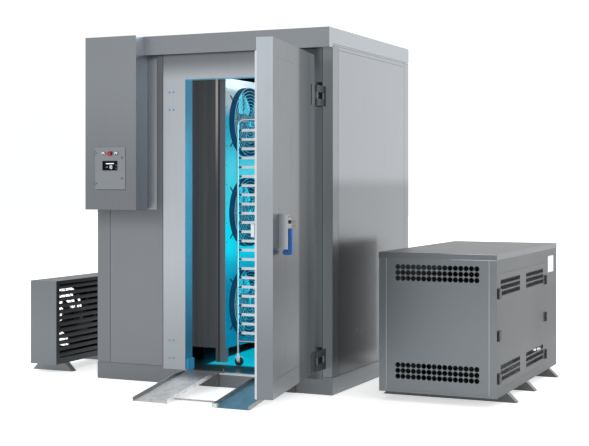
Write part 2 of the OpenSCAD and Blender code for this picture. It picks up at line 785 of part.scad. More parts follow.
// Service door with its knuckles and the rings round the buttons
module control_door() color(steel) difference() {
    union() {
        block([hatch_x0 + hatch_gap, hatch_y0, hatch_z0 + hatch_gap],
              [hatch_x1 - hatch_gap, hatch_y0 + hatch_t, hatch_z1 - hatch_gap]);
        for (z = hatch_hinge_z) {
            third = hatch_hinge_h / 3;
            translate([hatch_axis_x, hatch_axis_y, z + third + gap])
                cylinder(r = hatch_knuckle_r, h = third - 2 * gap);
            block([hatch_axis_x, hatch_axis_y - 1.5, z + third + gap],
                  [hatch_x0 + hatch_arm, hatch_axis_y + 1.5, z + 2 * third - gap]);
            block([hatch_x0 + 6, hatch_axis_y - 1.5, z + third + gap],
                  [hatch_x0 + hatch_arm, hatch_y0, z + 2 * third - gap]);
        }
        for (i = [0 : 2]) rod_out([button_x[i], hatch_y0, button_z], button_r + 3.5, bezel_t);
    }
    for (z = hatch_hinge_z) translate([hatch_axis_x, hatch_axis_y, z - 1])
        cylinder(r = hatch_pin_r + run, h = hatch_hinge_h + 2);
    for (x = button_x) rod_out([x, hatch_y0 + hatch_t + 1, button_z], stem_r + run, 20);
    for (i = [0, 2]) rod_out([button_x[i], hatch_y0, button_z], button_r + gap, 20);
    for (z = lock_z) rod_out([lock_x, hatch_y0 + hatch_t + 1, z], lock_r - 2 + run, 20);
}

module display() color(black) difference() {
    translate([screen_x - screen_w / 2, hatch_y0 - screen_t, screen_z - screen_h / 2])
        cube([screen_w, screen_t, screen_h]);
    translate([screen_x - screen_w / 2 + 7, hatch_y0 - screen_t - 1, screen_z - screen_h / 2 + 7])
        cube([screen_w - 14, 2.5, screen_h - 14]);
}

module start_button() color(white) push_cap(button_x[0]);
module light_button() color(white) push_cap(button_x[2]);

// A cap that moves in its ring; at rest its back is a travel away from the door
module push_cap(x) translate([x, hatch_y0, button_z]) {
    travel = 3;
    rod_out([0, -travel - gap, 0], button_r, bezel_t + button_out - travel);
    rod_out([0, hatch_t + gap, 0], stem_r, hatch_t + 2 * gap + travel + 1);
    rod_out([0, hatch_t + gap + 6, 0], stem_r + 3, 6);
}

// Mushroom head
module stop_button() color("red") translate([button_x[1], hatch_y0, button_z]) {
    travel = 4;
    under = bezel_t + travel + gap;
    rod_out([0, -under, 0], stop_r, 8);
    translate([0, -under - 8, 0]) rotate([90, 0, 0]) cylinder(r1 = stop_r, r2 = stop_r - 4, h = 3);
    rod_out([0, hatch_t + gap, 0], stem_r, hatch_t + gap + under);
    rod_out([0, hatch_t + gap + 6, 0], stem_r + 3, 6);
}

// Quarter-turn lock: slotted head, barrel and a cam that turns behind the box's edge
module quarter_lock(z) translate([lock_x, hatch_y0, z]) {
    difference() {
        rod_out([0, -gap, 0], lock_r, 4);
        block([-1.5, -5, -lock_r - 1], [1.5, -2.5, lock_r + 1]);
    }
    rod_out([0, hatch_t + gap + 12, 0], lock_r - 2, hatch_t + 2 * gap + 12);
    block([-5, hatch_t + gap + 4, -5], [5, hatch_t + gap + 8, 38]);
}

module upper_lock() color(pale_steel) quarter_lock(lock_z[1]);
module lower_lock() color(pale_steel) quarter_lock(lock_z[0]);

// One wheel track: a sloping sheet with a lip at its top, a flange on each side and a leg
module ramp_track(x) {
    under = [[ramp_l, ramp_top - ramp_t], [ramp_l * ramp_t / ramp_top, 0]];
    sheet = [[0, 0], [0, 1], [ramp_l, ramp_top], [ramp_l + lip_d, ramp_top],
             [ramp_l + lip_d, ramp_top - ramp_t]];
    flange = [[0, 0], [0, ramp_side], [ramp_l * (1 - ramp_side / ramp_top), ramp_top],
              [ramp_l, ramp_top]];
    translate([x, ramp_y0, 0]) rotate([90, 0, 90]) {
        translate([0, 0, -track_w / 2]) linear_extrude(track_w) polygon(concat(sheet, under));
        for (z = [-track_w / 2, track_w / 2 - ramp_t])
            translate([0, 0, z]) linear_extrude(ramp_t) polygon(concat(flange, under));
    }
    block([x - track_w / 2 + ramp_t, ramp_y1 - 6, 0],
          [x + track_w / 2 - ramp_t, ramp_y1 - 3, ramp_top - 2]);
}

module ramp() color(pale_steel) {
    bar_y = ramp_y0 + 0.15 * ramp_l;
    rung_z = 0.15 * ramp_top;
    for (x = tracks) ramp_track(x);
    block([tracks[0] + track_w / 2 - 1, bar_y - 10, rung_z - 4],
          [tracks[1] - track_w / 2 + 1, bar_y + 10, rung_z + 4]);
    block([tracks[0] + track_w / 2 - 1, ramp_y1 + 2, ramp_top - ramp_t],
          [tab_x, ramp_y1 + lip_d, ramp_top]);
    translate([pin_x, ramp_y1 + 10, ramp_top - 1]) cylinder(r = 4, h = pin_h + 1);
}

// One side of the trolley: an upright loop of tube, then its cross bar
module rack_side(y) {
    zb = rack_z1 - tube_r - bend_r;
    for (x = [rack_x0 + tube_r, rack_x1 - tube_r])
        translate([x, y, castor_z]) cylinder(r = tube_r, h = zb - castor_z);
    rod_x([rack_x0 + tube_r + bend_r, y, rack_z1 - tube_r], tube_r,
          rack_w - 2 * tube_r - 2 * bend_r);
    translate([rack_x0 + tube_r + bend_r, y, zb]) rotate([90, 0, 0]) rotate([0, 0, 90])
        rotate_extrude(angle = 90) translate([bend_r, 0]) circle(r = tube_r);
    translate([rack_x1 - tube_r - bend_r, y, zb]) rotate([90, 0, 0])
        rotate_extrude(angle = 90) translate([bend_r, 0]) circle(r = tube_r);
    rod_x([rack_x0 + tube_r, y, bar_z], tube_r - 2, rack_w - 2 * tube_r);
}

// Two side loops, the bars between them and the angle rails
module trolley_frame() color(pale_steel) {
    difference() {
        union() {
            rack_side(posts[0][1]);
            rack_side(posts[2][1]);
        }
        for (p = posts) translate([p[0], p[1], castor_z - 1])
            cylinder(r = tube_r - 3 + run, h = 46);
    }
    for (x = [posts[0][0], posts[1][0]], z = [bar_z, rack_z1 - 160])
        translate([x, posts[0][1], z]) rotate([-90, 0, 0])
            cylinder(r = tube_r - 2, h = rack_d - 2 * tube_r);
    for (i = [0 : rail_count - 1], s = [0, 1]) rack_rail(i, s);
}

// Angle rail number i on the front (s = 0) or rear (s = 1) side
module rack_rail(i, s) {
    z = floor_t + rail_low + i * rail_pitch;
    y = s == 0 ? posts[0][1] : posts[2][1];
    d = s == 0 ? 1 : -1;
    block([rail_x0, y - rail_t / 2, z - rail_h / 2], [rail_x1, y + rail_t / 2, z + rail_h / 2]);
    translate([0, y, 0]) mirror([0, d < 0 ? 1 : 0, 0])
        block([rail_x0, 0, z - rail_h / 2], [rail_x1, 28, z - rail_h / 2 + rail_t]);
}

// Clips that hold the rails' ends to the posts
module rail_clips() color(black) for (i = [0 : rail_count - 1], s = [0, 1], k = [0, 1]) {
    z = floor_t + rail_low + i * rail_pitch;
    y = posts[2 * s][1];
    x0 = k == 0 ? rack_x0 + 2 * tube_r - 1.5 : rail_x1 - 4;
    difference() {
        block([x0, y - 5, z - 7], [x0 + 19.5, y + 5, z + 7]);
        translate([posts[k][0], y, z - 9]) cylinder(r = tube_r, h = 18);
        block([rail_x0, y - rail_t / 2, z - 9], [rail_x1, y + rail_t / 2, z + 9]);
    }
}

// Swivelling fork with its stem and brake lever
module castor_fork(i) color(white) translate([posts[i][0], posts[i][1], 0]) {
    half = wheel_w / 2 + 1;
    crown_z = wheel_z + wheel_r + 3;
    translate([0, 0, castor_z - gap]) cylinder(r = tube_r - 3, h = 30);
    translate([0, 0, crown_z]) cylinder(r = tube_r + 3, h = castor_z - gap - crown_z);
    block([-14, -half - fork_t, crown_z], [22, half + fork_t, crown_z + fork_t]);
    for (s = [-1, 1]) translate([0, s * (half + fork_t / 2), 0]) fork_cheek();
    translate([castor_trail, half + fork_t, wheel_z]) rotate([90, 0, 0])
        cylinder(r = axle_r, h = 2 * (half + fork_t));
    block([18, -6, crown_z], [44, 6, crown_z + fork_t]);
}

module fork_cheek() {
    crown_z = wheel_z + wheel_r + 3;
    translate([0, fork_t / 2, 0]) rotate([90, 0, 0]) linear_extrude(fork_t)
        polygon([[-14, crown_z + fork_t], [22, crown_z + fork_t], [castor_trail + 8, wheel_z - 4],
                 [castor_trail, wheel_z - 8], [castor_trail - 8, wheel_z - 4]]);
}

module front_left_fork() castor_fork(0);
module front_right_fork() castor_fork(1);
module rear_left_fork() castor_fork(2);
module rear_right_fork() castor_fork(3);

// Wheel with a tyre bead and a bored hub, turning about Y
module castor_wheel(i) color(black)
    translate([posts[i][0] + castor_trail, posts[i][1], wheel_z]) rotate([90, 0, 0])
        rotate_extrude($fn = 64) polygon([
            [axle_r + run, -wheel_w / 2], [10, -wheel_w / 2], [12, -wheel_w / 2 + 4],
            [wheel_r - 9, -wheel_w / 2 + 4], [wheel_r - 7, -wheel_w / 2],
            [wheel_r - 3, -wheel_w / 2], [wheel_r, -wheel_w / 2 + 4],
            [wheel_r, wheel_w / 2 - 4], [wheel_r - 3, wheel_w / 2],
            [wheel_r - 7, wheel_w / 2], [wheel_r - 9, wheel_w / 2 - 4],
            [12, wheel_w / 2 - 4], [10, wheel_w / 2], [axle_r + run, wheel_w / 2]
        ]);

module front_left_wheel() castor_wheel(0);
module front_right_wheel() castor_wheel(1);
module rear_left_wheel() castor_wheel(2);
module rear_right_wheel() castor_wheel(3);

// A grid of round holes through a sheet whose outer face is at y = 0
module vent(cols, depth) {
    rows = 3;
    for (i = [0 : cols - 1], j = [0 : rows - 1])
        rod_out([(i - (cols - 1) / 2) * hole_px, depth + 1, (j - (rows - 1) / 2) * hole_pz],
                hole_d / 2, depth + 2, $fn = 24);
}

// The casing's half of a side door hinge, with the pin
module fixed_hinge(z) translate([0, side_axis_y, z]) {
    third = fitting_h / 3;
    block([unit_x1, hinge_set, -fitting_h / 2],
          [unit_x1 + hinge_leaf_t, hinge_set + hinge_leaf, fitting_h / 2]);
    translate([side_axis_x, 0, -fitting_h / 2]) cylinder(r = side_pin_r, h = fitting_h);
    for (k = [-1, 1]) translate([0, 0, k * third]) {
        translate([side_axis_x, 0, -third / 2]) cylinder(r = side_knuckle_r, h = third);
        block([unit_x1, 0, -third / 2], [side_axis_x + 4, 12, third / 2]);
    }
}

// Casing: pan, posts, rails and panels, with a doorway on the right side
module unit_housing() color(steel) {
    unit_case();
    for (z = fitting_z) fixed_hinge(z);
}

module unit_case() difference() {
    union() {
        block([unit_x0, unit_y0, foot_h], [unit_x1, unit_y1, foot_h + pan_t]);
        for (x = [unit_x0, unit_x1 - corner_w], y = [unit_y0, unit_y1 - corner_d])
            block([x, y, foot_h], [x + corner_w, y + corner_d, case_z1]);
        block([unit_x0 + corner_w + 2, unit_y0 + 1.5, foot_h],
              [unit_x1 - corner_w - 2, unit_y0 + 1.5 + case_t, case_z1]);
        block([unit_x0 + 10, unit_y0 + 4.5, foot_h], [unit_x1 - 10, unit_y0 + 6, case_z1]);
        block([unit_x0, unit_y0 + 10, foot_h], [unit_x0 + case_t, unit_y1 - 10, case_z1]);
        block([unit_x0 + 10, unit_y1 - case_t, foot_h], [unit_x1 - 10, unit_y1, case_z1]);
        block([unit_x1 - case_t, unit_y0 + 10, foot_h], [unit_x1, unit_y1 - 10, case_z1]);
    }
    block([unit_x1 - side_t - 1, side_y0, side_z0], [unit_x1 + 1, side_y1 + 1, side_z1]);
    for (z = vent_z) translate([(unit_x0 + unit_x1) / 2, unit_y0, z]) vent(16, 10);
    block([unit_x1 - 10, window_y[0], window_z[0]], [unit_x1 + 1, window_y[1], window_z[1]]);
    for (z = vent_z) translate([(unit_x0 + unit_x1) / 2, unit_y1, z]) rotate([0, 0, 180]) vent(16, 4);
}

module unit_lid() color(steel) difference() {
    block([unit_x0 - 2, unit_y0 - 2, case_z1], [unit_x1 + 2, unit_y1 + 2, unit_z1]);
    block([unit_x0 + 30, unit_y0 + 30, case_z1 - 1], [unit_x1 - 30, unit_y1 - 30, unit_z1 - 4]);
}

// Pressed side door with vents and its halves of the three hinges
module unit_door() color(steel) difference() {
    union() {
        difference() {
            block([unit_x1 - side_t, side_y0 + 1, side_z0 + 1], [unit_x1, side_y1, side_z1 - 1]);
            block([unit_x1 - side_t - 1, side_y0 + 3, side_z0 + 3],
                  [unit_x1 - 2, side_y1 - 2, side_z1 - 3]);
            for (y = [side_y0 + 293, side_y0 + 940], z = [side_z0 + 93, side_z1 - 91])
                translate([unit_x1, y, z]) rotate([0, 0, 90]) vent(14, 4);
        }
        for (z = fitting_z) {
            translate([side_axis_x, side_axis_y, z - 10]) cylinder(r = side_knuckle_r, h = 20);
            block([unit_x1, side_axis_y - hinge_set - hinge_leaf, z - fitting_h / 2],
                  [unit_x1 + hinge_leaf_t, side_axis_y - hinge_set, z + fitting_h / 2]);
            block([unit_x1, side_axis_y - 12, z - 10], [side_axis_x + 4, side_axis_y, z + 10]);
        }
    }
    for (z = fitting_z) {
        translate([side_axis_x, side_axis_y, z - 40]) cylinder(r = side_pin_r + run, h = 80);
        rod_x([unit_x1 - 5, latch_pos_y, z], 6 + run, 10);
    }
}

// Compressor with its heads, box and feet, and the receiver beside it
module compressor() color(black) {
    cx = unit_x0 + 0.58 * unit_w;
    cy = unit_y0 + 0.4 * unit_d;
    cz = foot_h + pan_t + comp_r + 40;
    translate([cx, cy - 230, cz]) rotate([-90, 0, 0]) cylinder(r = comp_r, h = 460);
    translate([cx, cy - 262, cz]) rotate([-90, 0, 0]) cylinder(r = comp_r - 22, h = 32);
    translate([cx, cy + 230, cz]) rotate([-90, 0, 0]) cylinder(r = comp_r - 30, h = 40);
    for (y = [cy - 190, cy + 40])
        block([cx - 70, y, cz + comp_r - 18], [cx + 70, y + 150, cz + comp_r + 70]);
    for (y = [cy - 180, cy + 150])
        block([cx - 105, y, foot_h + pan_t], [cx + 105, y + 40, cz - 40]);
    translate([unit_x0 + 0.23 * unit_w, cy - 60, foot_h + pan_t])
        cylinder(r = 0.7 * comp_r, h = 0.54 * unit_h);
}

// Three turning latches at the side door's front edge
module door_latch(k) color(black) translate([0, latch_pos_y, fitting_z[k]]) {
    block([unit_x1 + 1, -32, -fitting_h / 2], [unit_x1 + 12, 18, fitting_h / 2]);
    rod_x([unit_x1 - 14, 0, 0], 6, 16);
    rod_x([unit_x1 - 14, 0, 0], 11, 14 - 2 - gap);
}

module lower_latch() door_latch(0);
module middle_latch() door_latch(1);
module upper_latch() door_latch(2);

// Splayed foot along X, from x0 to x1 at its top, starting at y
module splayed_foot(x0, x1, y) translate([0, y + foot_d, 0]) rotate([90, 0, 0]) {
    outer = [[x0 - foot_splay, 0], [x0, foot_h], [x1, foot_h], [x1 + foot_splay, 0]];
    inset = 2 * foot_t;
    linear_extrude(foot_d) difference() {
        polygon(outer);
        polygon([[x0 - foot_splay + 2 * inset, -1], [x0 + inset, foot_h - foot_t],
                 [x1 - inset, foot_h - foot_t], [x1 + foot_splay - 2 * inset, -1]]);
    }
    translate([0, 0, foot_d - foot_t]) linear_extrude(foot_t) polygon(outer);
}

module unit_feet() color(pale_steel)
    for (k = [0.15, 0.45, 0.847]) splayed_foot(unit_x0, unit_x1, unit_y0 + k * unit_d);

// Casing with an inlet of slats on the right and a round outlet on the left
module condenser_housing() color(steel) {
    difference() {
        block([cond_x0, cond_y0, foot_h], [cond_x1, cond_y1, cond_z1]);
        block([cond_x0 + case_t, cond_y0 + case_t, foot_h + case_t],
              [cond_x1 - case_t, cond_y1 - case_t, cond_z1 - case_t]);
        block([cond_x1 - 10, louvre_y[0], louvre_z[0]], [cond_x1 + 1, louvre_y[1], louvre_z[1]]);
        rod_x([cond_x0 - 1, cond_fan_y, cond_fan_z], cond_fan_r + 8, 10);
        block([cond_x0 - 1, cond_y0 - 1, cond_z1 - 42], [cond_x1 + 1, cond_y0 + 1, cond_z1 - 40]);
    }
    for (i = [0 : slat_count - 1])
        translate([cond_x1 - 17, louvre_y[0] - 5, louvre_z[0] + (i + 0.5) * slat_pitch + 13])
            rotate([0, 60, 0]) cube([30, louvre_y[1] - louvre_y[0] + 10, 2]);
    for (k = [0.127, 0.81]) splayed_foot(cond_x0, cond_x1, cond_y0 + k * cond_l);
}

// Bare tube coil behind the slats
module condenser_coil() color(brass) {
    x = cond_x1 - 60;
    for (i = [0 : slat_count - 1])
        translate([x, cond_y0 + case_t, louvre_z[0] + (i + 0.5) * slat_pitch - 10])
            rotate([-90, 0, 0]) cylinder(r = 7, h = cond_l - 2 * case_t);
}

// Wire guard of the condenser's fan, with the fan's bearing in its middle
module condenser_guard() color(black) translate([cond_x0, cond_fan_y, cond_fan_z]) {
    mirror([1, 0, 0]) wire_guard(40, cond_fan_r + 20, 6, 4, guard_wire);
    difference() {
        rod_x([-guard_wire, 0, 0], 45, 60);
        rod_x([0, 0, 0], shaft_r + run, 61);
    }
}

module condenser_fan() color(black) translate([cond_fan_x, cond_fan_y, cond_fan_z])
    fan_wheel(cond_fan_r, cond_fan_x - cond_x0 - 10);

floor_panel();
left_wall();
right_wall();
rear_wall();
front_wall();
door_frame();
threshold_strip();
roof_panel();
roof_fascia();
evaporator_housing();
fan_panel();
evaporator_coil();
fan_shrouds();
fan_guards();
light_bars();
frame_fittings();
upper_fan();
middle_fan();
lower_fan();
door_leaf();
door_liner();
door_seals();
door_hinges();
latch_housing();
lock_cylinder();
latch_handle();
lock_key();
release_knob();
control_box();
control_gear();
control_door();
display();
start_button();
stop_button();
light_button();
upper_lock();
lower_lock();
ramp();
trolley_frame();
rail_clips();
front_left_fork();
front_right_fork();
rear_left_fork();
rear_right_fork();
front_left_wheel();
front_right_wheel();
rear_left_wheel();
rear_right_wheel();
unit_housing();
unit_lid();
unit_door();
unit_feet();
compressor();
upper_latch();
middle_latch();
lower_latch();
condenser_housing();
condenser_coil();
condenser_guard();
condenser_fan();
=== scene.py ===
# %% [markdown]
# # Dressing a roll-in blast chiller
# A blast chiller is a steel room that freezes whole trolleys of food. Its construction comes
# ready made from the CAD model, which is loaded here as a fixed frame: nothing of it is moved.
# What this lesson adds is everything the eye reads as real: brushed steel with its grain, painted
# fans, lit cyan lamps, moulded plastic, screws, clips, and the numbers on a small display.

# %% Load the frame
import json
import math

import bmesh
import bpy
from mathutils import Matrix, Vector


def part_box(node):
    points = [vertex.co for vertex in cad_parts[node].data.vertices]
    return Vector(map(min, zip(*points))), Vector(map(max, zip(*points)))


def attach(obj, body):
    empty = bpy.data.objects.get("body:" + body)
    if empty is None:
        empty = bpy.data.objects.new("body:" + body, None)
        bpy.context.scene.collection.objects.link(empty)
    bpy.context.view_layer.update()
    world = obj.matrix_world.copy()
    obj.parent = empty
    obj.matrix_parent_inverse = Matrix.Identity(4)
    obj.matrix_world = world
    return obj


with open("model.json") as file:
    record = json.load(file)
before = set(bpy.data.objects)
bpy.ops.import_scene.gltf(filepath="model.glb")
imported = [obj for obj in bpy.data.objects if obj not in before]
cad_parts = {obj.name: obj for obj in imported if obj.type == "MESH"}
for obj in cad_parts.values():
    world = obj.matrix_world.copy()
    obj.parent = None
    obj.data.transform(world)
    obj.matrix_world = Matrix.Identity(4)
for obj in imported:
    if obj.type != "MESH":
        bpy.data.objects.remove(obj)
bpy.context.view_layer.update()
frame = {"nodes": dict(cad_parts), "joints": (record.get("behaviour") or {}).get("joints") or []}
joints = {joint["name"]: joint for joint in frame["joints"]}

# %% [markdown]
# The photograph was taken with a level camera, a little above the middle of the cabinet, turned
# to the left by 24.4 degrees. A level camera keeps upright edges upright. The horizon lies above
# the middle of the picture, which a lens shift gives without tilting the camera.

# %% The camera
scene = bpy.context.scene
camera = bpy.data.objects.new("camera", bpy.data.cameras.new("camera"))
scene.collection.objects.link(camera)
camera.location = (4.057, -8.298, 1.392)
camera.rotation_euler = (math.radians(90), 0, math.radians(24.4))
camera.data.lens = 76.7
camera.data.sensor_width = 36
camera.data.shift_y = -0.0696
scene.camera = camera
scene.view_settings.view_transform = "Standard"
print("camera at", tuple(camera.location), "with a lens of", camera.data.lens, "mm")

# %% [markdown]
# Materials are graphs of nodes, and graphs are hard to read as code. This class wraps one output
# of a node, so that sums on it can be written as sums: `1 - mask * 0.3` makes its own Math nodes.
# Every other kind of node comes from `node`, which takes the kind, its settings and its inputs.

# %% One class for the wires of a material
class Wire:
    """An output of a shader node that takes part in sums."""

    def __init__(self, socket):
        self.socket = socket

    def sum(self, operation, *terms):
        return node(self.socket.id_data, "ShaderNodeMath", {"operation": operation},
                    dict(enumerate(terms)))

    def __add__(self, other):
        return self.sum("ADD", self, other)

    def __sub__(self, other):
        return self.sum("SUBTRACT", self, other)

    def __rsub__(self, other):
        return self.sum("SUBTRACT", other, self)

    def __mul__(self, other):
        return self.sum("MULTIPLY", self, other)

    def __pow__(self, other):
        return self.sum("POWER", self, other)

    __radd__, __rmul__ = __add__, __mul__


def node(tree, kind, settings={}, inputs={}, output=0):
    """Adds a node of any kind. Settings come first, because they decide which sockets it has.
    A colour is given as red, green and blue."""
    made = tree.nodes.new(kind)
    for name, value in settings.items():
        if name == "stops":
            while len(made.color_ramp.elements) < len(value):
                made.color_ramp.elements.new(0.5)
            for element, (place, colour) in zip(made.color_ramp.elements, value):
                element.position, element.color = place, (*colour, 1.0)
        else:
            setattr(made, name, value)
    for name, value in inputs.items():
        socket = made.inputs[name]
        if isinstance(value, Wire):
            tree.links.new(value.socket, socket)
        else:
            socket.default_value = (*value, 1.0) if socket.type == "RGBA" else value
    return Wire(made.outputs[output])


print("wires can be added, subtracted, multiplied and raised to a power")

# %% [markdown]
# A finish starts from the same few things: the place on the object, in metres, and the shader.
# Object coordinates are used throughout, because the frame's coordinates are the object's own
# and they travel with a part when it moves. Each finish is kept under its name.

# %% A finish and its basic patterns
finishes = {}


class Finish:
    """A material with one Principled shader, and the patterns that its colour is made of."""

    def __init__(self, name, **constants):
        finishes[name] = bpy.data.materials.new(name)
        finishes[name].use_nodes = True
        self.tree = finishes[name].node_tree
        self.shader = self.tree.nodes["Principled BSDF"]
        for socket, value in constants.items():
            self.shader.inputs[socket.replace("_", " ")].default_value = value
        self.place = self.node("ShaderNodeTexCoord", output="Object")

    def node(self, *terms, **output):
        return node(self.tree, *terms, **output)

    def axis(self, letter):
        """How far along X, Y or Z a point lies, in metres."""
        return self.node("ShaderNodeSeparateXYZ", {}, {"Vector": self.place}, output=letter)

    def facing(self, letter, sign=1):
        """1 where the surface looks along an axis, 0 where it looks elsewhere."""
        normal = self.node("ShaderNodeTexCoord", output="Normal")
        part = self.node("ShaderNodeSeparateXYZ", {}, {"Vector": normal}, output=letter)
        return self.step(part * sign, 0.5, 0.9)

    def step(self, value, low, high):
        """0 at low, 1 at high, and a smooth way between them; high may be the smaller."""
        return self.node("ShaderNodeMapRange", {"interpolation_type": "SMOOTHSTEP"},
                         {"Value": value, "From Min": low, "From Max": high})

    def rise(self, letter, start, end):
        """0 at start and 1 at end, along an axis."""
        return self.step(self.axis(letter), start, end)

    def fade(self, letter, start, end, factor):
        """A tone that is 1 before start and the factor after end, along an axis."""
        return 1 + self.rise(letter, start, end) * (factor - 1)

    def noise(self, stretch, detail=2.0, rough=0.5):
        """Noise with so many features per metre, along X, Y and Z or the same along all."""
        if isinstance(stretch, float):
            stretch = (stretch, stretch, stretch)
        place = self.node("ShaderNodeMapping", {}, {"Vector": self.place, "Scale": stretch})
        return self.node("ShaderNodeTexNoise", {"normalize": True},
                         {"Vector": place, "Scale": 1.0, "Detail": detail, "Roughness": rough})

    def mix(self, factor, first, second):
        """A colour that goes from the first to the second."""
        return self.node("ShaderNodeMix", {"data_type": "RGBA"},
                         {"Factor": factor, "A": first, "B": second}, output="Result")

    def shade(self, colour, value):
        """A colour made lighter or darker by a number that changes over the surface."""
        return self.node("ShaderNodeVectorMath", {"operation": "SCALE"},
                         {0: colour, "Scale": value})

    def feed(self, **sockets):
        """Links what changes over the surface to the shader."""
        for name, wire in sockets.items():
            self.tree.links.new(wire.socket, self.shader.inputs[name.replace("_", " ")])

    def bumps(self, height, distance, strength):
        """A surface raised by up to a distance, in metres."""
        return self.node("ShaderNodeBump", {}, {"Height": height, "Distance": distance,
                                                "Strength": strength})


print("a finish is ready to be made")

# %% [markdown]
# ## Brushed steel
# The panels are stainless sheet brushed along the length of the coil, so each sheet shows long
# fine scratches one way. Scratches do three things: they vary the grey a little, they scatter
# the reflection, and they raise the surface by microns. One noise, stretched a hundredfold
# along the grain, feeds all three. A second, slow noise is the cloudiness of a wiped panel.

# %% The steel's recipe
# Features per metre along X, Y and Z, for a grain that runs along one of them.
GRAIN = {"x": (3.0, 420.0, 420.0), "y": (420.0, 3.0, 420.0), "z": (420.0, 420.0, 3.0)}


def brushed(name, tone, grain="z", rough=0.34, blue=0.06, near=None, extra=None, **constants):
    """Brushed steel. near(finish) is its painted light and shade; extra(finish) adds sockets."""
    finish = Finish(name, **{"Metallic": 1.0, **constants})
    fine = finish.noise(GRAIN[grain], 3.0, 0.6)
    long = finish.noise([stretch / 9 for stretch in GRAIN[grain]], 2.0)
    cloud = finish.noise((1.3, 1.3, 0.9), 3.0, 0.55)
    shade = 0.90 + fine * 0.09 + long * 0.06 + cloud * 0.05
    if near:
        shade = shade * near(finish)
    smear = finish.step(finish.noise((5.0, 5.0, 3.0), 4.0, 0.6), 0.55, 0.75)
    sockets = {
        "Base Color": finish.shade((tone * (1 - blue), tone, tone * (1 + blue)), shade),
        "Roughness": rough - 0.05 + fine * 0.10 + smear * 0.05,
        "Normal": finish.bumps(fine + long * 0.5, 0.00006, 0.55),
        **(extra(finish) if extra else {})}
    finish.feed(**sockets)


print("the grain has", GRAIN["z"][0], "features per metre along it and", GRAIN["z"][2], "across")

# %% [markdown]
# Steel has hardly a colour of its own: it mirrors what stands near it, blurred by the scratches.
# A wide soft studio gives it the right level, and what is missing is the near surroundings, such
# as the dark corner behind the open door, or the shade under the roof's edge. Each of these is
# painted in as a gentle change of tone along an axis of the object, so that it stays put from
# every side.

# %% How the near surroundings tone each sheet
def wall_tones(finish):
    """The unit shows in the side wall up to its own height, and behind the coil it is dark."""
    # Painted reflection below 1.4 m and where the unit shows; painted shade behind the coil.
    sky = finish.fade("Z", 1.46, 1.33, 0.58) * 0.74
    painted_unit_reflection = finish.rise("Z", 1.03, 0.96) * finish.rise("Z", 0.16, 0.26) \
        * finish.rise("Y", 0.10, 0.02) * finish.facing("X")
    room = finish.facing("Y", -1) * finish.rise("X", -0.10, -0.20)
    return sky * (1 - painted_unit_reflection * 0.72) * (1 - room * 0.93)


def front_tones(finish):
    """Painted shade beside the control box, on the left post and behind the door's hinges."""
    front = finish.facing("Y", -1)
    under_box = finish.fade("Z", 1.02, 1.2, 0.66)
    post = finish.fade("X", -0.80, -0.82, 0.93)
    behind_door = 1 + front * finish.rise("X", 0.70, 0.80) * (0.42 - 1)
    side = finish.facing("X")
    return under_box * post * behind_door * (1 - side + side * wall_tones(finish) * 2.2)


def frame_tones(finish):
    """Painted shade under the roof's edge, near the floor and behind the open door."""
    under_roof = finish.fade("Z", 2.08, 2.24, 0.43)
    near_floor = finish.fade("Z", 0.95, 0.25, 0.78)
    behind_door = finish.fade("X", 0.62, 0.74, 0.29)
    return under_roof * near_floor * behind_door


def near_hinge(finish):
    """1 on the end of the open door that lies near its hinges, with one quick step to it."""
    return finish.rise("Y", -1.34, -1.27)


def door_tones(finish):
    """The open door's outer face mirrors the dark corner; its free edge fades downwards."""
    outside = finish.facing("X")
    face = finish.fade("Z", 0.95, 0.3, 2.4) * 0.237 * (1 - near_hinge(finish) * 0.95)
    edge = finish.fade("Z", 2.1, 1.1, 0.70) * finish.fade("Z", 1.1, 0.3, 0.66) * 0.86
    return outside * face + (1 - outside) * edge


def side_tones(factor, top=1.0):
    """Painted light and shade for a box: one factor on its right side and one on its top."""
    return lambda finish: (1 + finish.facing("X") * (factor - 1)) \
        * (1 + finish.facing("Z") * (top - 1))


def box_tones(finish):
    """Painted light and shade: the control box has a bright right side and fades to its foot."""
    return side_tones(3.5)(finish) * finish.fade("Z", 2.2, 1.25, 0.70)


def unit_tones(finish):
    """The unit's side mirrors its surroundings in broad soft bands."""
    middle = finish.rise("Z", 0.80, 0.60) * finish.rise("Z", 0.18, 0.42)
    back = finish.rise("Y", -0.10, 0.35)
    band = 1 - finish.facing("X") * (middle * 0.24 + back * 0.24)
    return side_tones(0.44, 0.60)(finish) * finish.fade("Z", 0.25, 0.85, 0.88) * band


def latch_tones(finish):
    """Painted light and shade: each side of the latch housing gets one tone, so its edges read."""
    face, end, back = finish.facing("X"), finish.facing("Y", -1), finish.facing("Y")
    return (1 + face * 0.05 + end * 0.95 - back * 0.6) * (1 + finish.facing("Z") * 1.6)


print("tones for the walls, front, frame, door, control box, unit and latch")

# %% [markdown]
# Some of the steel shows light that a change of its tone can't give: the blue of the lamps on
# the jamb and the floor, and the soft grey that sheets throw at each other near the hinges. A
# faint painted glow, kept to where it belongs, adds it, the same from every side.

# %% Light and shade that the sheets throw at each other
def lit_jamb(finish):
    """The doorway's left side and its head take the blue of the lamps, and the strip beside the
    hinges mirrors the grey of the open door."""
    doorway = finish.rise("X", 0.72, 0.68)
    inside = (finish.facing("X") + finish.facing("Z", -1)) * doorway
    high = finish.rise("Z", 0.3, 2.0)
    blue = finish.mix(high, (0.010, 0.048, 0.098), (0.045, 0.190, 0.305))
    mirrored = finish.rise("X", 0.785, 0.834) * finish.facing("Y", -1)
    return {"Emission Color": finish.mix(mirrored, finish.shade(blue, inside),
                                         (0.055, 0.063, 0.066))}


def shaded_strip(finish):
    """Behind the door the wall mirrors the grey of the door's edge."""
    strip = finish.rise("X", 0.82, 0.84) * finish.facing("Y", -1)
    top = finish.fade("Z", 1.2, 2.2, 1.25)
    return {"Emission Color": finish.shade((0.098, 0.112, 0.116), strip * top)}


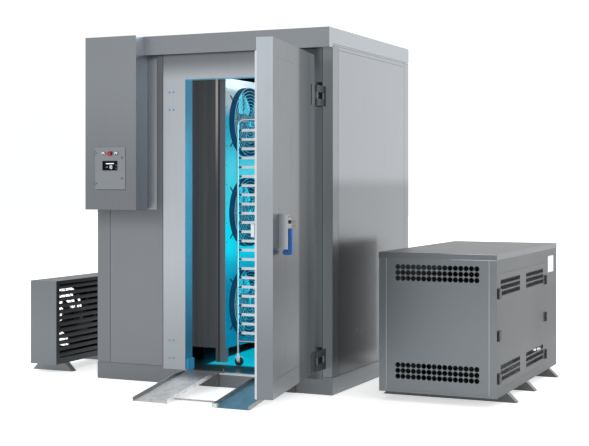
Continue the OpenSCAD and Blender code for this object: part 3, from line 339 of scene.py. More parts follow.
def shaded_face(finish):
    """Near its hinges the open door's face mirrors the frame, as one plain dark grey."""
    plain = near_hinge(finish) * finish.facing("X")
    deep = finish.fade("Y", -1.06, -0.92, 1.5) * finish.fade("Z", 1.7, 0.5, 0.62)
    return {"Emission Color": finish.shade((0.076, 0.088, 0.093), plain * deep),
            "Metallic": 1 - plain * 0.92}


def lit_floor(finish):
    """The lamps lay a pool of light on the room's floor, under the fan panel's edge."""
    across, along = finish.axis("X"), finish.axis("Y")
    pool = finish.step(across + along * 0.08, -0.240, -0.212) * finish.step(along, -0.47, -0.38) \
        * finish.step(across, 0.50, 0.10) * finish.facing("Z")
    ripple = finish.noise((5.0, 2.0, 5.0), 3.0, 0.6)
    return {"Emission Color": finish.shade((0.0, 0.390, 0.520), pool * (0.5 + ripple))}


UNIT_SIDE = 2.008


def black_hinges(finish):
    """The hinge halves stand proud of the unit's side, and are moulded in black."""
    proud = finish.rise("X", UNIT_SIDE + 0.0002, UNIT_SIDE + 0.0010)
    grain = finish.noise(500.0, 2.0)
    # The steel beside the hinges carries the unit's painted light and shade.
    steel = finish.shade((0.170, 0.186, 0.196), unit_tones(finish) * (0.94 + grain * 0.1))
    black = finish.shade((0.02, 0.021, 0.023), 0.9 + grain * 0.2)
    return {"Base Color": finish.mix(proud, steel, black), "Metallic": 1 - proud,
            "Roughness": 0.40 + grain * 0.08}


print("the unit's side lies at x =", UNIT_SIDE)

# %% [markdown]
# With the recipe and the tones at hand, each sheet is one line: how light it is, which way its
# grain runs, how rough it is, and what changes over it. The numbers were found by comparing the
# same places in the render and in the photograph.

# %% Steel for each part
# near= and extra= add painted light, shade and reflections to the sheets that take them.
brushed("wall_steel", 0.292, rough=0.24, near=wall_tones)
brushed("front_steel", 0.172, near=front_tones, extra=shaded_strip, Emission_Strength=1.0)
brushed("frame_steel", 0.355, near=frame_tones, extra=lit_jamb, Emission_Strength=1.0)
brushed("plinth_steel", 0.157, grain="x", rough=0.40, near=side_tones(1.78), extra=lit_floor,
        Emission_Strength=1.0)
brushed("roof_steel", 0.21, grain="x", near=side_tones(1.35))
brushed("door_steel", 0.41, blue=0.08, near=door_tones,
        extra=shaded_face, Emission_Strength=1.0, IOR=1.1)
brushed("box_steel", 0.215, rough=0.38, near=box_tones)
brushed("hatch_steel", 0.205, grain="x", rough=0.36)
brushed("unit_steel", 0.19, rough=0.42, extra=black_hinges)
brushed("lid_steel", 0.139, grain="y", rough=0.42, near=side_tones(1.0, 0.60))
brushed("dull_steel", 0.13, rough=0.45)
brushed("bright_steel", 0.50, rough=0.28)
brushed("trolley_steel", 0.44, grain="x", rough=0.30)
brushed("backing_steel", 0.200, rough=0.42)
brushed("hinge_steel", 0.125, rough=0.5)
brushed("lock_steel", 0.19, rough=0.4)
brushed("dark_steel", 0.030, rough=0.45)
brushed("latch_steel", 0.19, rough=0.34, near=latch_tones)
print(len(finishes), "steels")

# %% [markdown]
# The evaporator's front sheet is dull, nearly brown in the shade, with upright streaks. A column
# stands in front of it, with a plain grey web, a groove dark with painted shade, and a pinkish
# painted highlight on its edge that fades downwards. Both glow faintly in their own colours, as
# painted light. One finish serves both: places are counted from the housing's own right side, so
# the bands stay on the column if its size changes.

# %% The dull sheet and the column inside
finish = Finish("column_steel", Metallic=0.45, Emission_Strength=1.0)
low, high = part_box("evaporator_housing")
across, up = finish.axis("X"), finish.axis("Z")
streaks = finish.noise((26.0, 26.0, 0.5), 4.0, 0.6)
fine = finish.noise(GRAIN["z"], 2.0)
column = finish.step(across, high.x - 0.084, high.x - 0.080)
edge = finish.step(across, high.x - 0.058, high.x - 0.062) * column
groove = finish.step(across, high.x - 0.046, high.x - 0.042)
top = finish.step(up, high.z - 1.0, high.z - 0.1)
# The groove's dark band is painted shade; the pinkish edge strip is a painted highlight.
web = finish.mix(groove, (0.030, 0.031, 0.033), (0.095, 0.105, 0.115))
strip = finish.mix(top, (0.075, 0.072, 0.075), (0.42, 0.36, 0.35))
front = finish.mix(edge, web, strip)
sheet = finish.mix(streaks, (0.034, 0.036, 0.039), (0.098, 0.099, 0.104))
colour = finish.mix(column, sheet, front)
# Painted light: a faint glow in the finish's own colours.
finish.feed(
    Base_Color=finish.shade(colour, 0.9 + fine * 0.2),
    Emission_Color=finish.shade(colour, 0.55),
    Roughness=0.40 + fine * 0.12,
    Normal=finish.bumps(fine + streaks * 0.3, 0.00006, 0.5))
print("the column ends at x =", round(high.x, 3))

# %% [markdown]
# Galvanised sheet is steel dipped in zinc. The zinc freezes in flat crystals, called spangle,
# each of its own grey, which Voronoi cells give at once.

# %% Galvanised sheet for the ramp and the feet
CRYSTALS = 70.0
finish = Finish("galvanised", Metallic=0.45)
cells = finish.node("ShaderNodeTexVoronoi", {"feature": "F1"},
                    {"Vector": finish.place, "Scale": CRYSTALS}, output="Color")
spangle = finish.node("ShaderNodeSeparateXYZ", {}, {"Vector": cells}, output="X")
rubbed = finish.noise((30.0, 3.0, 30.0), 4.0, 0.65)
blotch = finish.step(finish.noise((26.0, 12.0, 26.0), 4.0, 0.75), 0.36, 0.66)
shade = 0.74 + spangle * 0.14 + rubbed * 0.08 + blotch * 0.26
# Painted light and shade: darker near the door, sides darker than tops, some outer sides lighter.
near_door = finish.rise("Y", -1.02, -0.82)
flat = finish.facing("Z")
across = finish.axis("X")
# The right track's top takes a painted cyan reflection of the lamps.
right = finish.step(across, 0.30, 0.36) * flat
outer = finish.step(across, 0.0, 0.05) * finish.step(across, 0.2, 0.1) * finish.facing("X")
zinc_with_cyan_reflection = finish.mix(right, (1.0, 1.0, 1.0), (0.22, 0.42, 0.56))
painted_light_and_shade = (1 - near_door * 0.72) * (0.34 + flat * 0.66 + outer * 0.60)
finish.feed(
    Base_Color=finish.shade(zinc_with_cyan_reflection, shade * painted_light_and_shade),
    Roughness=0.30 + spangle * 0.10 + rubbed * 0.08,
    Normal=finish.bumps(rubbed + spangle * 0.4, 0.00015, 0.5))
print("crystals of about", round(1000 / CRYSTALS), "mm")

# %% [markdown]
# ## Paint
# Powder paint flows into a faint orange peel before it sets. It shows in the gloss rather than
# in the colour, so the noise goes mostly to the bump.

# %% Painted metal
def painted(name, colour, gloss=0.35, peel=900.0, dust=0.12, glow=(0, 0, 0), **constants):
    """Paint. What stands in the lamps' light takes a painted glow of their colour."""
    finish = Finish(name, **{"IOR": 1.5, "Coat Weight": 0.15, "Coat Roughness": 0.2,
                             "Emission Strength": 1.0, **constants})
    skin = finish.noise(peel, 1.0)
    wear_and_glow = finish.noise(9.0, 4.0, 0.6)
    finish.feed(
        Base_Color=finish.shade(colour, 1 - dust * 0.5 + wear_and_glow * dust),
        Emission_Color=finish.shade(glow, 0.4 + wear_and_glow * 1.2),
        Roughness=gloss + wear_and_glow * 0.12,
        Normal=finish.bumps(skin, 0.00005, 0.4))


# The room's shrouds, blades and guards are tinted blue and glow: painted cyan light.
painted("lit_shroud_paint", (0.004, 0.020, 0.036), gloss=0.6,
        glow=(0.001, 0.030, 0.072), IOR=1.2, Coat_Weight=0.0)
painted("lit_blade_paint", (0.012, 0.040, 0.060), gloss=0.5,
        glow=(0.002, 0.070, 0.125), IOR=1.25, Coat_Weight=0.0)
painted("lit_guard_paint", (0.30, 0.36, 0.40), glow=(0.008, 0.090, 0.120))
painted("fan_black", (0.025, 0.035, 0.045))
painted("casting_black", (0.03, 0.03, 0.033), gloss=0.5, peel=250.0)
painted("gear_white", (0.62, 0.63, 0.62))
print(len(finishes), "finishes, with the paints")

# %% [markdown]
# The fan panel is white sheet. The lamps beside the doorway are cyan and hang lower than the
# panel's top, so the panel goes from white at the top to strong cyan below. Real lamps are added
# later, and this gradient helps them where the photograph is brightest.

# %% White sheet in cyan light
# Painted cyan light: below its white top the panel has a dark cyan base colour and a glow.
finish = Finish("lit_panel", IOR=1.5, Emission_Strength=1.0)
low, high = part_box("fan_panel")
height = finish.axis("Z")
white = finish.step(height, high.z - 0.10, high.z - 0.05)
share = finish.step(height, low.z, high.z)
glow = finish.node("ShaderNodeValToRGB", {"stops": [
    (0.00, (0.00, 0.130, 0.240)), (0.12, (0.00, 0.150, 0.270)),
    (0.23, (0.00, 0.320, 0.460)), (0.29, (0.00, 0.560, 0.700)),
    (0.42, (0.00, 0.600, 0.740)), (0.74, (0.06, 0.520, 0.610)),
    (0.94, (0.01, 0.230, 0.360)), (0.975, (0.34, 0.380, 0.390))]}, {"Fac": share})
skin = finish.noise(700.0, 1.0)
wipes_and_glow = finish.noise((4.0, 4.0, 2.0), 3.0, 0.6)
colour = finish.mix(white, (0.02, 0.10, 0.13), (0.76, 0.79, 0.81))
finish.feed(
    Base_Color=finish.shade(colour, 0.94 + wipes_and_glow * 0.1),
    Emission_Color=finish.shade(glow, 0.85 + wipes_and_glow * 0.3),
    Roughness=0.32 + wipes_and_glow * 0.1,
    Normal=finish.bumps(skin, 0.00004, 0.4))
print("the panel is", round(high.z - low.z, 2), "m high")

# %% [markdown]
# The coil behind the fans is a block of thin aluminium fins. Through the fans one sees it bright
# with the lamps' light, so its fins glow a little, bright on the fins and dark between them.

# %% Lit fins of the coil
WAVES = 900.0
# Painted light and shade: the glow, the dark between the fins and the darker foot.
finish = Finish("lit_fins", Metallic=0.7, Emission_Strength=1.0)
wave = finish.node("ShaderNodeMath", {"operation": "SINE"}, {0: finish.axis("Y") * WAVES})
fins = 0.75 + wave * 0.25
uneven = finish.noise((6.0, 6.0, 3.0), 3.0, 0.6)
shaded = finish.rise("Z", 0.34, 0.22)
finish.feed(
    Base_Color=finish.shade((0.55, 0.62, 0.66), fins * (1 - shaded)),
    Emission_Color=finish.shade((0.0, 0.46, 0.64), fins * (0.75 + uneven * 0.8) * (1 - shaded)),
    Roughness=0.35 + wave * 0.05,
    Normal=finish.bumps(wave, 0.0004, 0.6))
print("fins", round(1000 * math.tau / WAVES, 1), "mm apart")

# %% [markdown]
# A lamp is a tube behind a ribbed cover of clear plastic. Its ribs are a sine wave along its
# length. Only the right lamp glows strongly, because the left one would outshine the jamb, which
# the photograph shows in a deep blue.

# %% Lamps behind a ribbed cover
finish = Finish("lamp", IOR=1.49, Emission_Strength=6.0)
ribs = finish.node("ShaderNodeMath", {"operation": "SINE"}, {0: finish.axis("Z") * WAVES})
right = finish.rise("X", 0.1, 0.4)
shade = 0.92 + ribs * 0.08
finish.feed(
    Base_Color=finish.shade((0.6, 0.92, 1.0), shade),
    Emission_Color=finish.shade((0.0, 0.66, 0.95), shade * (0.06 + right * 0.94)),
    Roughness=0.3 + ribs * 0.05)
print(len(finishes), "finishes so far")

# %% [markdown]
# ## Plastic, rubber, brass and copper
# Moulded plastic copies the spark-eroded grain of its mould, and is a little shinier where hands
# have worn it. Rubber is duller and holds dust. One recipe with other numbers makes them all.

# %% Plastic and rubber
def moulded(name, colour, gloss=0.42, grain=1500.0, dust=0.10, **constants):
    """Plastic or rubber, with the grain of its mould and the marks of hands."""
    finish = Finish(name, **{"IOR": 1.46, **constants})
    erosion = finish.noise(grain, 2.0, 0.7)
    handled = finish.noise((40.0, 40.0, 25.0), 4.0, 0.6)
    finish.feed(
        Base_Color=finish.shade(colour, 1 - dust * 0.5 + handled * dust),
        Roughness=gloss - 0.05 + handled * 0.12 + erosion * 0.05,
        Normal=finish.bumps(erosion, 0.00008, 0.45))


moulded("blue_plastic", (0.010, 0.090, 0.30), 0.42, IOR=1.3)
moulded("black_plastic", (0.018, 0.019, 0.021), 0.5)
moulded("white_plastic", (0.72, 0.73, 0.73), 0.36)
moulded("red_plastic", (0.34, 0.006, 0.010), 0.25, dust=0.06)
moulded("green_plastic", (0.010, 0.035, 0.015), 0.3)
moulded("gasket", (0.52, 0.55, 0.57), 0.55, grain=600.0, dust=0.2)
moulded("seal_rubber", (0.060, 0.063, 0.068), 0.6, grain=600.0)
moulded("rubber", (0.020, 0.020, 0.021), 0.72, grain=600.0, dust=0.3)
moulded("screen", (0.003, 0.003, 0.004), 0.42, dust=0.4, IOR=1.15)
moulded("pale_plate", (0.62, 0.66, 0.66), 0.45)
print(len(finishes), "finishes, with the plastics")

# %% [markdown]
# Brass is turned, so its grain runs round; under a millimetre that reads as fine noise. Copper
# tube is drawn, so its fine lines run along it, and it tarnishes in brown clouds.

# %% Brass and copper
finish = Finish("turned_brass", Metallic=1.0)
rings = finish.noise(900.0, 3.0, 0.6)
aged = finish.noise(60.0, 3.0, 0.6)
finish.feed(
    Base_Color=finish.mix(aged, (0.13, 0.085, 0.05), (0.30, 0.22, 0.14)),
    Roughness=0.26 + aged * 0.15,
    Normal=finish.bumps(rings, 0.00004, 0.5))

finish = Finish("copper_tube", Metallic=1.0)
tarnish = finish.noise((8.0, 14.0, 8.0), 4.0, 0.65)
drawn = finish.noise((400.0, 3.0, 400.0), 2.0)
finish.feed(
    Base_Color=finish.mix(tarnish, (0.20, 0.10, 0.07), (0.52, 0.28, 0.18)),
    Roughness=0.32 + tarnish * 0.2,
    Normal=finish.bumps(drawn, 0.00004, 0.4))
print("brass and copper are ready")

# %% [markdown]
# What is left is small: the grey guard at the jamb's foot, which stands in the lamps' light, and
# the marks and pilot lights of the display, which shine a little.

# %% Fittings and small lights
finish = Finish("lit_fittings", Metallic=0.3, IOR=1.3, Emission_Strength=1.0)
grain = finish.noise(400.0, 2.0)
# Painted cyan light: inside the doorway the guard turns blue and glows.
inside = finish.rise("X", -0.12, -0.16)
finish.feed(
    Base_Color=finish.mix(inside, (0.050, 0.056, 0.060), (0.02, 0.11, 0.19)),
    Emission_Color=finish.shade((0.020, 0.130, 0.240), inside * (0.7 + grain * 0.4)),
    Roughness=0.45 + grain * 0.1,
    Normal=finish.bumps(grain, 0.00005, 0.4))


def small_light(name, colour, strength):
    """A mark of light: its brightness varies a little from grain to grain."""
    finish = Finish(name, IOR=1.46, Roughness=0.3, Emission_Strength=strength)
    grains = 0.85 + finish.noise(900.0, 2.0) * 0.3
    finish.feed(Base_Color=finish.shade(colour, grains),
                Emission_Color=finish.shade(colour, grains))


small_light("digit_light", (0.80, 0.84, 0.86), 0.9)
small_light("green_light", (0.25, 0.50, 0.18), 0.3)
small_light("red_light", (0.50, 0.14, 0.22), 0.3)
print(len(finishes), "finishes")

# %% [markdown]
# ## Giving each piece of the frame its finish
# The frame's objects keep their shape and place. Only their material changes, so a table from
# finish to pieces is enough, and what it leaves out is printed.

# %% Finishes of the frame's own pieces
CORNERS = ("front_left", "front_right", "rear_left", "rear_right")
dressed = {
    "wall_steel": ["left_wall", "right_wall", "rear_wall"],
    "front_steel": ["front_wall"],
    "frame_steel": ["door_frame"],
    "plinth_steel": ["floor_panel"],
    "roof_steel": ["roof_panel", "roof_fascia"],
    "door_steel": ["door_leaf"],
    "hinge_steel": ["door_hinges"],
    "lit_fittings": ["frame_fittings"],
    "box_steel": ["control_box"],
    "hatch_steel": ["control_door"],
    "latch_steel": ["latch_housing"],
    "lock_steel": ["upper_lock", "lower_lock"],
    "unit_steel": ["unit_housing", "unit_door", "condenser_housing"],
    "lid_steel": ["unit_lid"],
    "bright_steel": ["threshold_strip", "door_liner", "release_knob"],
    "lit_fins": ["evaporator_coil"],
    "column_steel": ["evaporator_housing"],
    "trolley_steel": ["trolley_frame"],
    "galvanised": ["ramp", "unit_feet"],
    "lit_panel": ["fan_panel"],
    "lamp": ["light_bars"],
    "lit_shroud_paint": ["fan_shrouds"],
    "lit_blade_paint": ["upper_fan", "middle_fan", "lower_fan"],
    "lit_guard_paint": ["fan_guards"],
    "fan_black": ["condenser_fan", "condenser_guard"],
    "casting_black": ["compressor"],
    "gear_white": ["control_gear"],
    "gasket": ["door_seals"],
    "rubber": [corner + "_wheel" for corner in CORNERS],
    "white_plastic": ["start_button", "light_button", *(corner + "_fork" for corner in CORNERS)],
    "red_plastic": ["stop_button"],
    "blue_plastic": ["latch_handle"],
    "black_plastic": ["rail_clips", "upper_latch", "middle_latch", "lower_latch"],
    "screen": ["display"],
    "turned_brass": ["lock_key"],
    "dark_steel": ["lock_cylinder"],
    "copper_tube": ["condenser_coil"],
}
for finish, names in dressed.items():
    for name in names:
        materials = frame["nodes"][name].data.materials
        materials.clear()
        materials.append(finishes[finish])
undressed = set(frame["nodes"]) - {name for names in dressed.values() for name in names}
print("pieces of the frame with no finish yet:", sorted(undressed))

# %% [markdown]
# ## Small pieces
# The frame has the large forms. What tells a real machine from a model is what holds it together:
# screws, caps, brackets and rivets. All of them come from two shapes, one turned on a lathe and
# one cut from a bar with its edges rounded. Their points and faces are collected in a bmesh, and
# a finished bmesh becomes one object that rides on its body of the frame.

# %% A lathe and a bar
LEFT, RIGHT, AHEAD, BACK, UP = (-1, 0, 0), (1, 0, 0), (0, -1, 0), (0, 1, 0), (0, 0, 1)


def pointing(at, direction):
    """The place of a piece at a point, with its own Z axis along a direction."""
    turn = Vector(direction).to_track_quat("Z", "Y").to_matrix()
    return Matrix.Translation(at) @ turn.to_4x4()


def turned(bm, place, profile, sides=20):
    """Spins pairs of radius and height round a place's Z axis; a radius of 0 closes the end."""
    rings = []
    for radius, height in profile:
        angles = [math.tau * k / sides for k in range(sides if radius else 1)]
        rings.append([bm.verts.new(place @ Vector((radius * math.cos(angle),
                                                   radius * math.sin(angle), height)))
                      for angle in angles])
    for lower, upper in zip(rings, rings[1:]):
        for k in range(sides):
            corners = [lower[k % len(lower)], lower[(k + 1) % len(lower)],
                       upper[(k + 1) % len(upper)], upper[k % len(upper)]]
            bm.faces.new(dict.fromkeys(corners))


def bar(bm, low, high, bevel=0.0006, place=Matrix()):
    """A bar between two corners, with its edges rounded."""
    size, middle = Vector(high) - Vector(low), (Vector(high) + Vector(low)) / 2
    made = bmesh.ops.create_cube(bm, size=1, matrix=place @ Matrix.Translation(middle)
                                 @ Matrix.Diagonal((*size, 1)))
    edges = {edge for vert in made["verts"] for edge in vert.link_edges}
    bmesh.ops.bevel(bm, geom=list(edges), offset=bevel, segments=2, profile=0.5, affect="EDGES")


def screw(bm, place, radius=0.0045):
    """A pan head with a socket for the key."""
    turned(bm, place, [(radius, 0), (radius, radius * 0.3), (radius * 0.8, radius * 0.62),
                       (radius * 0.46, radius * 0.7), (radius * 0.38, radius * 0.35),
                       (0, radius * 0.35)], 16)


def cap(bm, place, radius, height):
    """A domed cap on a thin brim."""
    turned(bm, place, [(radius, 0), (radius, height * 0.25), (radius * 0.86, height * 0.35),
                       (radius * 0.78, height * 0.7), (radius * 0.55, height * 0.94),
                       (0, height)], 20)


made_pieces = []


def piece(name, bm, finish, body="cabinet"):
    """Makes an object of a bmesh, gives it its finish, and lets it ride on a body."""
    bmesh.ops.recalc_face_normals(bm, faces=bm.faces)
    mesh = bpy.data.meshes.new(name)
    bm.to_mesh(mesh)
    bm.free()
    mesh.materials.append(finishes[finish])
    mesh.polygons.foreach_set("use_smooth", [True] * len(mesh.polygons))
    mesh.set_sharp_from_angle(angle=math.radians(35))
    made = bpy.data.objects.new(name, mesh)
    scene.collection.objects.link(made)
    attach(made, body)
    made_pieces.append(made)
    print(name, "has", len(mesh.polygons), "faces and rides on", body)


print("a lathe, a bar, a screw and a cap")

# %% [markdown]
# The control box doesn't stand on the front wall itself: a thin backing plate shows as a dull
# strip along its right side. Two more plates stand behind the door's hinges, each with its bolts.
# The side wall's joints are filled with dark beads. All of these are bars, very thin where they
# only show as a line.

# %% Plates and joints on the cabinet
FRONT, SIDE, REAR = -0.750, 0.905, 0.750
bm = bmesh.new()
bar(bm, (-0.493, FRONT - 0.002, 1.200), (-0.416, FRONT, 2.262))
piece("box_backing", bm, "backing_steel")

bm, bolts = bmesh.new(), bmesh.new()
plate_front, bolt_inset = FRONT - 0.0025, 0.022
for low, high in ((0.163, 0.311), (1.883, 2.0465)):
    bar(bm, (0.790, plate_front, low), (0.832, FRONT, high), 0.001)
    for up in (low + bolt_inset, high - bolt_inset):
        screw(bolts, pointing((0.8, plate_front, up), AHEAD), 0.006)
piece("hinge_plates", bm, "dark_steel")
piece("hinge_plate_bolts", bolts, "dull_steel")

bm = bmesh.new()
sunk, proud = SIDE - 0.0006, SIDE + 0.0004
for up, half in ((2.2590, 0.642), (2.2840, 0.745)):
    bar(bm, (sunk, -half, up - 0.0013), (proud, half, up + 0.0013), 0.0003)
for along in (-0.650, 0.650):
    bar(bm, (sunk, along - 0.0010, 0.125), (proud, along + 0.0010, 2.268), 0.0003)
piece("joint_beads", bm, "seal_rubber")

# %% [markdown]
# The door is drawn closed and then swung open by its hinge, as the frame's door is. A matrix that
# turns about the hinge does that to any point, so the caps and screws of the door are placed on
# the closed door, where their places are easy to read.

# %% Caps and screws of the door
hinge = Vector(joints["door_swing"]["pos_m"])
opening = math.radians(-joints["door_swing"]["range_deg"][0])
door_open = Matrix.Translation(hinge) @ Matrix.Rotation(opening, 4, "Z") \
    @ Matrix.Translation(-hinge)

strap_face, latch_face = -0.860, -0.911
bm = bmesh.new()
for up in (0.1827, 0.3306, 1.8809, 2.0096):
    cap(bm, door_open @ pointing((0.8209, strap_face, up), AHEAD), 0.0065, 0.004)
piece("door_bolt_caps", bm, "black_plastic", "door")

bm = bmesh.new()
for across in (-0.079, -0.029):
    for up in (0.998, 1.192):
        screw(bm, door_open @ pointing((across, latch_face, up), AHEAD), 0.0042)
piece("latch_screws", bm, "dull_steel", "door")
print("the door stands open by", round(math.degrees(opening), 1), "degrees")

# %% [markdown]
# A strip of dark rubber behind the service door of the control box shows as a dark line at its
# right and at its foot: a painted shadow of the door.

# %% Painted shadow of the service door
hatch_low, hatch_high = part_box("control_door")
shadow_strip_front, shadow_strip_back = -0.9025, -0.8986
bm = bmesh.new()
bar(bm, (hatch_high.x + 0.0003, shadow_strip_front, hatch_low.z + 0.012),
    (hatch_high.x + 0.0048, shadow_strip_back, hatch_high.z - 0.010), 0.001)
bar(bm, (hatch_low.x + 0.020, shadow_strip_front, hatch_low.z - 0.0060),
    (hatch_high.x + 0.0040, shadow_strip_back, hatch_low.z - 0.0006), 0.001)
piece("service_door_shadow", bm, "seal_rubber")

# %% [markdown]
# The display is a generic one: a row of bars and three digits of seven segments each. Each
# segment is a small bar of its own, which stays sharp from close by.

# %% Bars and digits of the display
SEGMENTS = {"top": (0, 1, 1, 1), "middle": (0, 0.5, 1, 0.5), "foot": (0, 0, 1, 0),
            "upper left": (0, 0.5, 0, 1), "upper right": (1, 0.5, 1, 1),
            "lower left": (0, 0, 0, 0.5), "lower right": (1, 0, 1, 0.5)}
DIGITS = {"-": ["middle"], "1": ["upper right", "lower right"], "8": list(SEGMENTS)}
screen_low, screen_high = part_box("display")
screen_face = screen_low.y + 0.0015


def mark(bm, left, foot, right, top):
    """A thin bar on the display's face."""
    bar(bm, (left, screen_face - 0.0008, foot), (right, screen_face + 0.0002, top), 0.0002)


bm = bmesh.new()
bar_pitch, bar_width, bars_foot, bars_top = 0.0072, 0.0056, 1.5165, 1.5220
for k in range(9):
    left = screen_low.x + 0.029 + k * bar_pitch
    mark(bm, left, bars_foot, left + bar_width, bars_top)
digit_pitch, digits_foot, wide, tall, line = 0.0175, 1.4850, 0.0110, 0.022, 0.0022
for k, digit in enumerate("-18"):
    left = screen_low.x + 0.032 + k * digit_pitch
    for name in DIGITS[digit]:
        x0, z0, x1, z1 = SEGMENTS[name]
        across, up = (0.7 * line, -line / 2) if z0 == z1 else (-line / 2, 0.7 * line)
        mark(bm, left + x0 * wide + across, digits_foot + z0 * tall + up,
             left + x1 * wide - across, digits_foot + z1 * tall - up)
piece("display_marks", bm, "digit_light", "hatch")

# %% [markdown]
# Two pilot lights stand beside the digits. The start and light buttons have a green pip each,
# and the stop button a ring. They ride on their buttons, so they go in when one is pressed.

# %% Pilot lights, pips and a ring
def front_of(name):
    """The middle of a piece's front."""
    low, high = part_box(name)
    return Vector(((low.x + high.x) / 2, low.y, (low.z + high.z) / 2))


for name, up in (("green_light", 1.507), ("red_light", 1.486)):
    bm = bmesh.new()
    cap(bm, pointing((screen_high.x - 0.0035, screen_low.y, up), AHEAD), 0.0026, 0.0016)
    piece(name, bm, name, "hatch")
for name in ("start", "light"):
    bm = bmesh.new()
    cap(bm, pointing(front_of(name + "_button") - Vector((0, 0, 0.0045)), AHEAD), 0.0072, 0.001)
    piece(name + "_pip", bm, "green_plastic", name + "_button")

bm = bmesh.new()
turned(bm, pointing(front_of("stop_button"), AHEAD),
       [(0.0135, 0), (0.0125, 0.0008), (0.0105, 0.0008), (0.0098, 0)], 32)
piece("stop_ring", bm, "red_plastic", "stop_button")

# %% [markdown]
# Each ring guard is held by four brackets: a foot screwed to the fan panel, a leg along the
# shroud, and a hook over the outermost ring. They are made once round the X axis and turned.

# %% Brackets of the ring guards
panel_low, panel_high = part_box("fan_panel")
guard_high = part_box("fan_guards")[1]
brackets, bracket_screws = bmesh.new(), bmesh.new()
spins = {name: Vector(joints[name + "_spin"]["pos_m"])
         for name in ("upper_fan", "middle_fan", "lower_fan")}
reach = guard_high.x - panel_high.x
strap, half_strap, leg, foot_end = 0.002, 0.007, 0.2535, 0.300
for middle in spins.values():
    for angle in (38, 142, 218, 322):
        place = Matrix.Translation((panel_high.x, middle.y, middle.z)) \
            @ Matrix.Rotation(math.radians(angle), 4, "X")
        bar(brackets, (0, leg, -half_strap), (strap, foot_end, half_strap), 0.0005, place)
        bar(brackets, (strap / 2, leg, -half_strap),
            (reach + strap, leg + strap, half_strap), 0.0005, place)
        bar(brackets, (reach, 0.2440, -0.004), (reach + strap, 0.2550, 0.004), 0.0005, place)
        screw(bracket_screws, place @ pointing((strap, foot_end - 0.016, 0), RIGHT), 0.0048)
piece("guard_brackets", brackets, "fan_black")
piece("guard_bracket_screws", bracket_screws, "dull_steel")

# %% [markdown]
# The fan panel is screwed along its two upright edges. Each fan's hub closes with a turned cap
# on four screws, which spins with its fan. The lamps end in black caps.

# %% Screws of the panel, caps of the fans and the lamps
bm = bmesh.new()
first_screw, screw_pitch = 0.27, 0.138
for k in range(14):
    up = first_screw + k * screw_pitch
    for along in (panel_low.y + 0.012, panel_high.y - 0.016):
        screw(bm, pointing((panel_high.x, along, up), RIGHT), 0.0042)
piece("panel_screws", bm, "dull_steel")

for name, middle in spins.items():
    bm = bmesh.new()
    front = pointing((middle.x + 0.017, middle.y, middle.z), RIGHT)
    turned(bm, front, [(0.052, 0), (0.050, 0.004), (0.038, 0.007), (0.016, 0.008),
                       (0.014, 0.012), (0.006, 0.0135), (0, 0.0135)], 36)
    for k in range(4):
        screw(bm, front @ Matrix.Rotation(math.tau * (k + 0.5) / 4, 4, "Z")
              @ Matrix.Translation((0.044, 0, 0.0052)), 0.0035)
    piece(name + "_cap", bm, "lit_blade_paint", name)

bm = bmesh.new()
half_wide, half_tall, cap_front, cap_back = 0.0185, 0.006, -0.650, -0.6245
for lamp_x in (-0.252, 0.718):
    for end in (0.300, 1.998):
        bar(bm, (lamp_x - half_wide, cap_front, end - half_tall),
            (lamp_x + half_wide, cap_back, end + half_tall), 0.002)
piece("lamp_caps", bm, "black_plastic")

# %% [markdown]
# The trolley's castors turn on an axle bolt with a domed head at one side and a nut with a washer
# at the other. They ride on the fork, so they swivel with it and stay still when the wheel rolls.

# %% Axle bolts of the castors
for corner in CORNERS:
    low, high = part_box(corner + "_fork")
    axle = Vector(joints[corner + "_roll"]["pos_m"])
    bm = bmesh.new()
    cap(bm, pointing((axle.x, low.y, axle.z), AHEAD), 0.0065, 0.0035)
    turned(bm, pointing((axle.x, high.y, axle.z), BACK),
           [(0.0075, 0), (0.0075, 0.001), (0.006, 0.0012), (0.006, 0.0045), (0.004, 0.005),
            (0.003, 0.005), (0.003, 0.0065), (0, 0.0065)], 6)
    piece(corner + "_axle", bm, "dull_steel", corner + "_fork")

# %% [markdown]
# The ramp's tracks are folded from thick galvanised sheet. A welded block closes the inner corner
# of the right one, and the upright pin between them wears a black cap.

# %% Ends of the ramp
ramp_low, ramp_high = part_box("ramp")
bm = bmesh.new()
bar(bm, (0.3940, ramp_low.y + 0.0004, 0.0004), (0.4240, ramp_low.y + 0.030, 0.0245), 0.002)
piece("ramp_block", bm, "pale_plate", "ramp")
bm = bmesh.new()
turned(bm, pointing((0.1005, -0.74, ramp_high.z - 0.009), UP),
       [(0.0048, 0), (0.0060, 0.0015), (0.0062, 0.0075), (0.0045, 0.0100), (0, 0.0105)], 20)
piece("pin_cap", bm, "black_plastic", "ramp")

# %% [markdown]
# The condensing unit carries a pale plate behind the small opening in its side, bolts on the two
# heads of its compressor, a brass valve on the receiver, and rivets along the sheets that the
# photograph doesn't show.

# %% Plate, bolts, valve and rivets of the condensing unit
unit_low, unit_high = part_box("unit_housing")
bm = bmesh.new()
bar(bm, (UNIT_SIDE - 0.0055, 0.578, 0.735), (UNIT_SIDE - 0.0030, 0.787, 0.874), 0.0008)
bar(bm, (UNIT_SIDE - 0.0085, 0.588, 0.745), (UNIT_SIDE - 0.0050, 0.660, 0.864), 0.0015)
piece("window_plate", bm, "pale_plate")

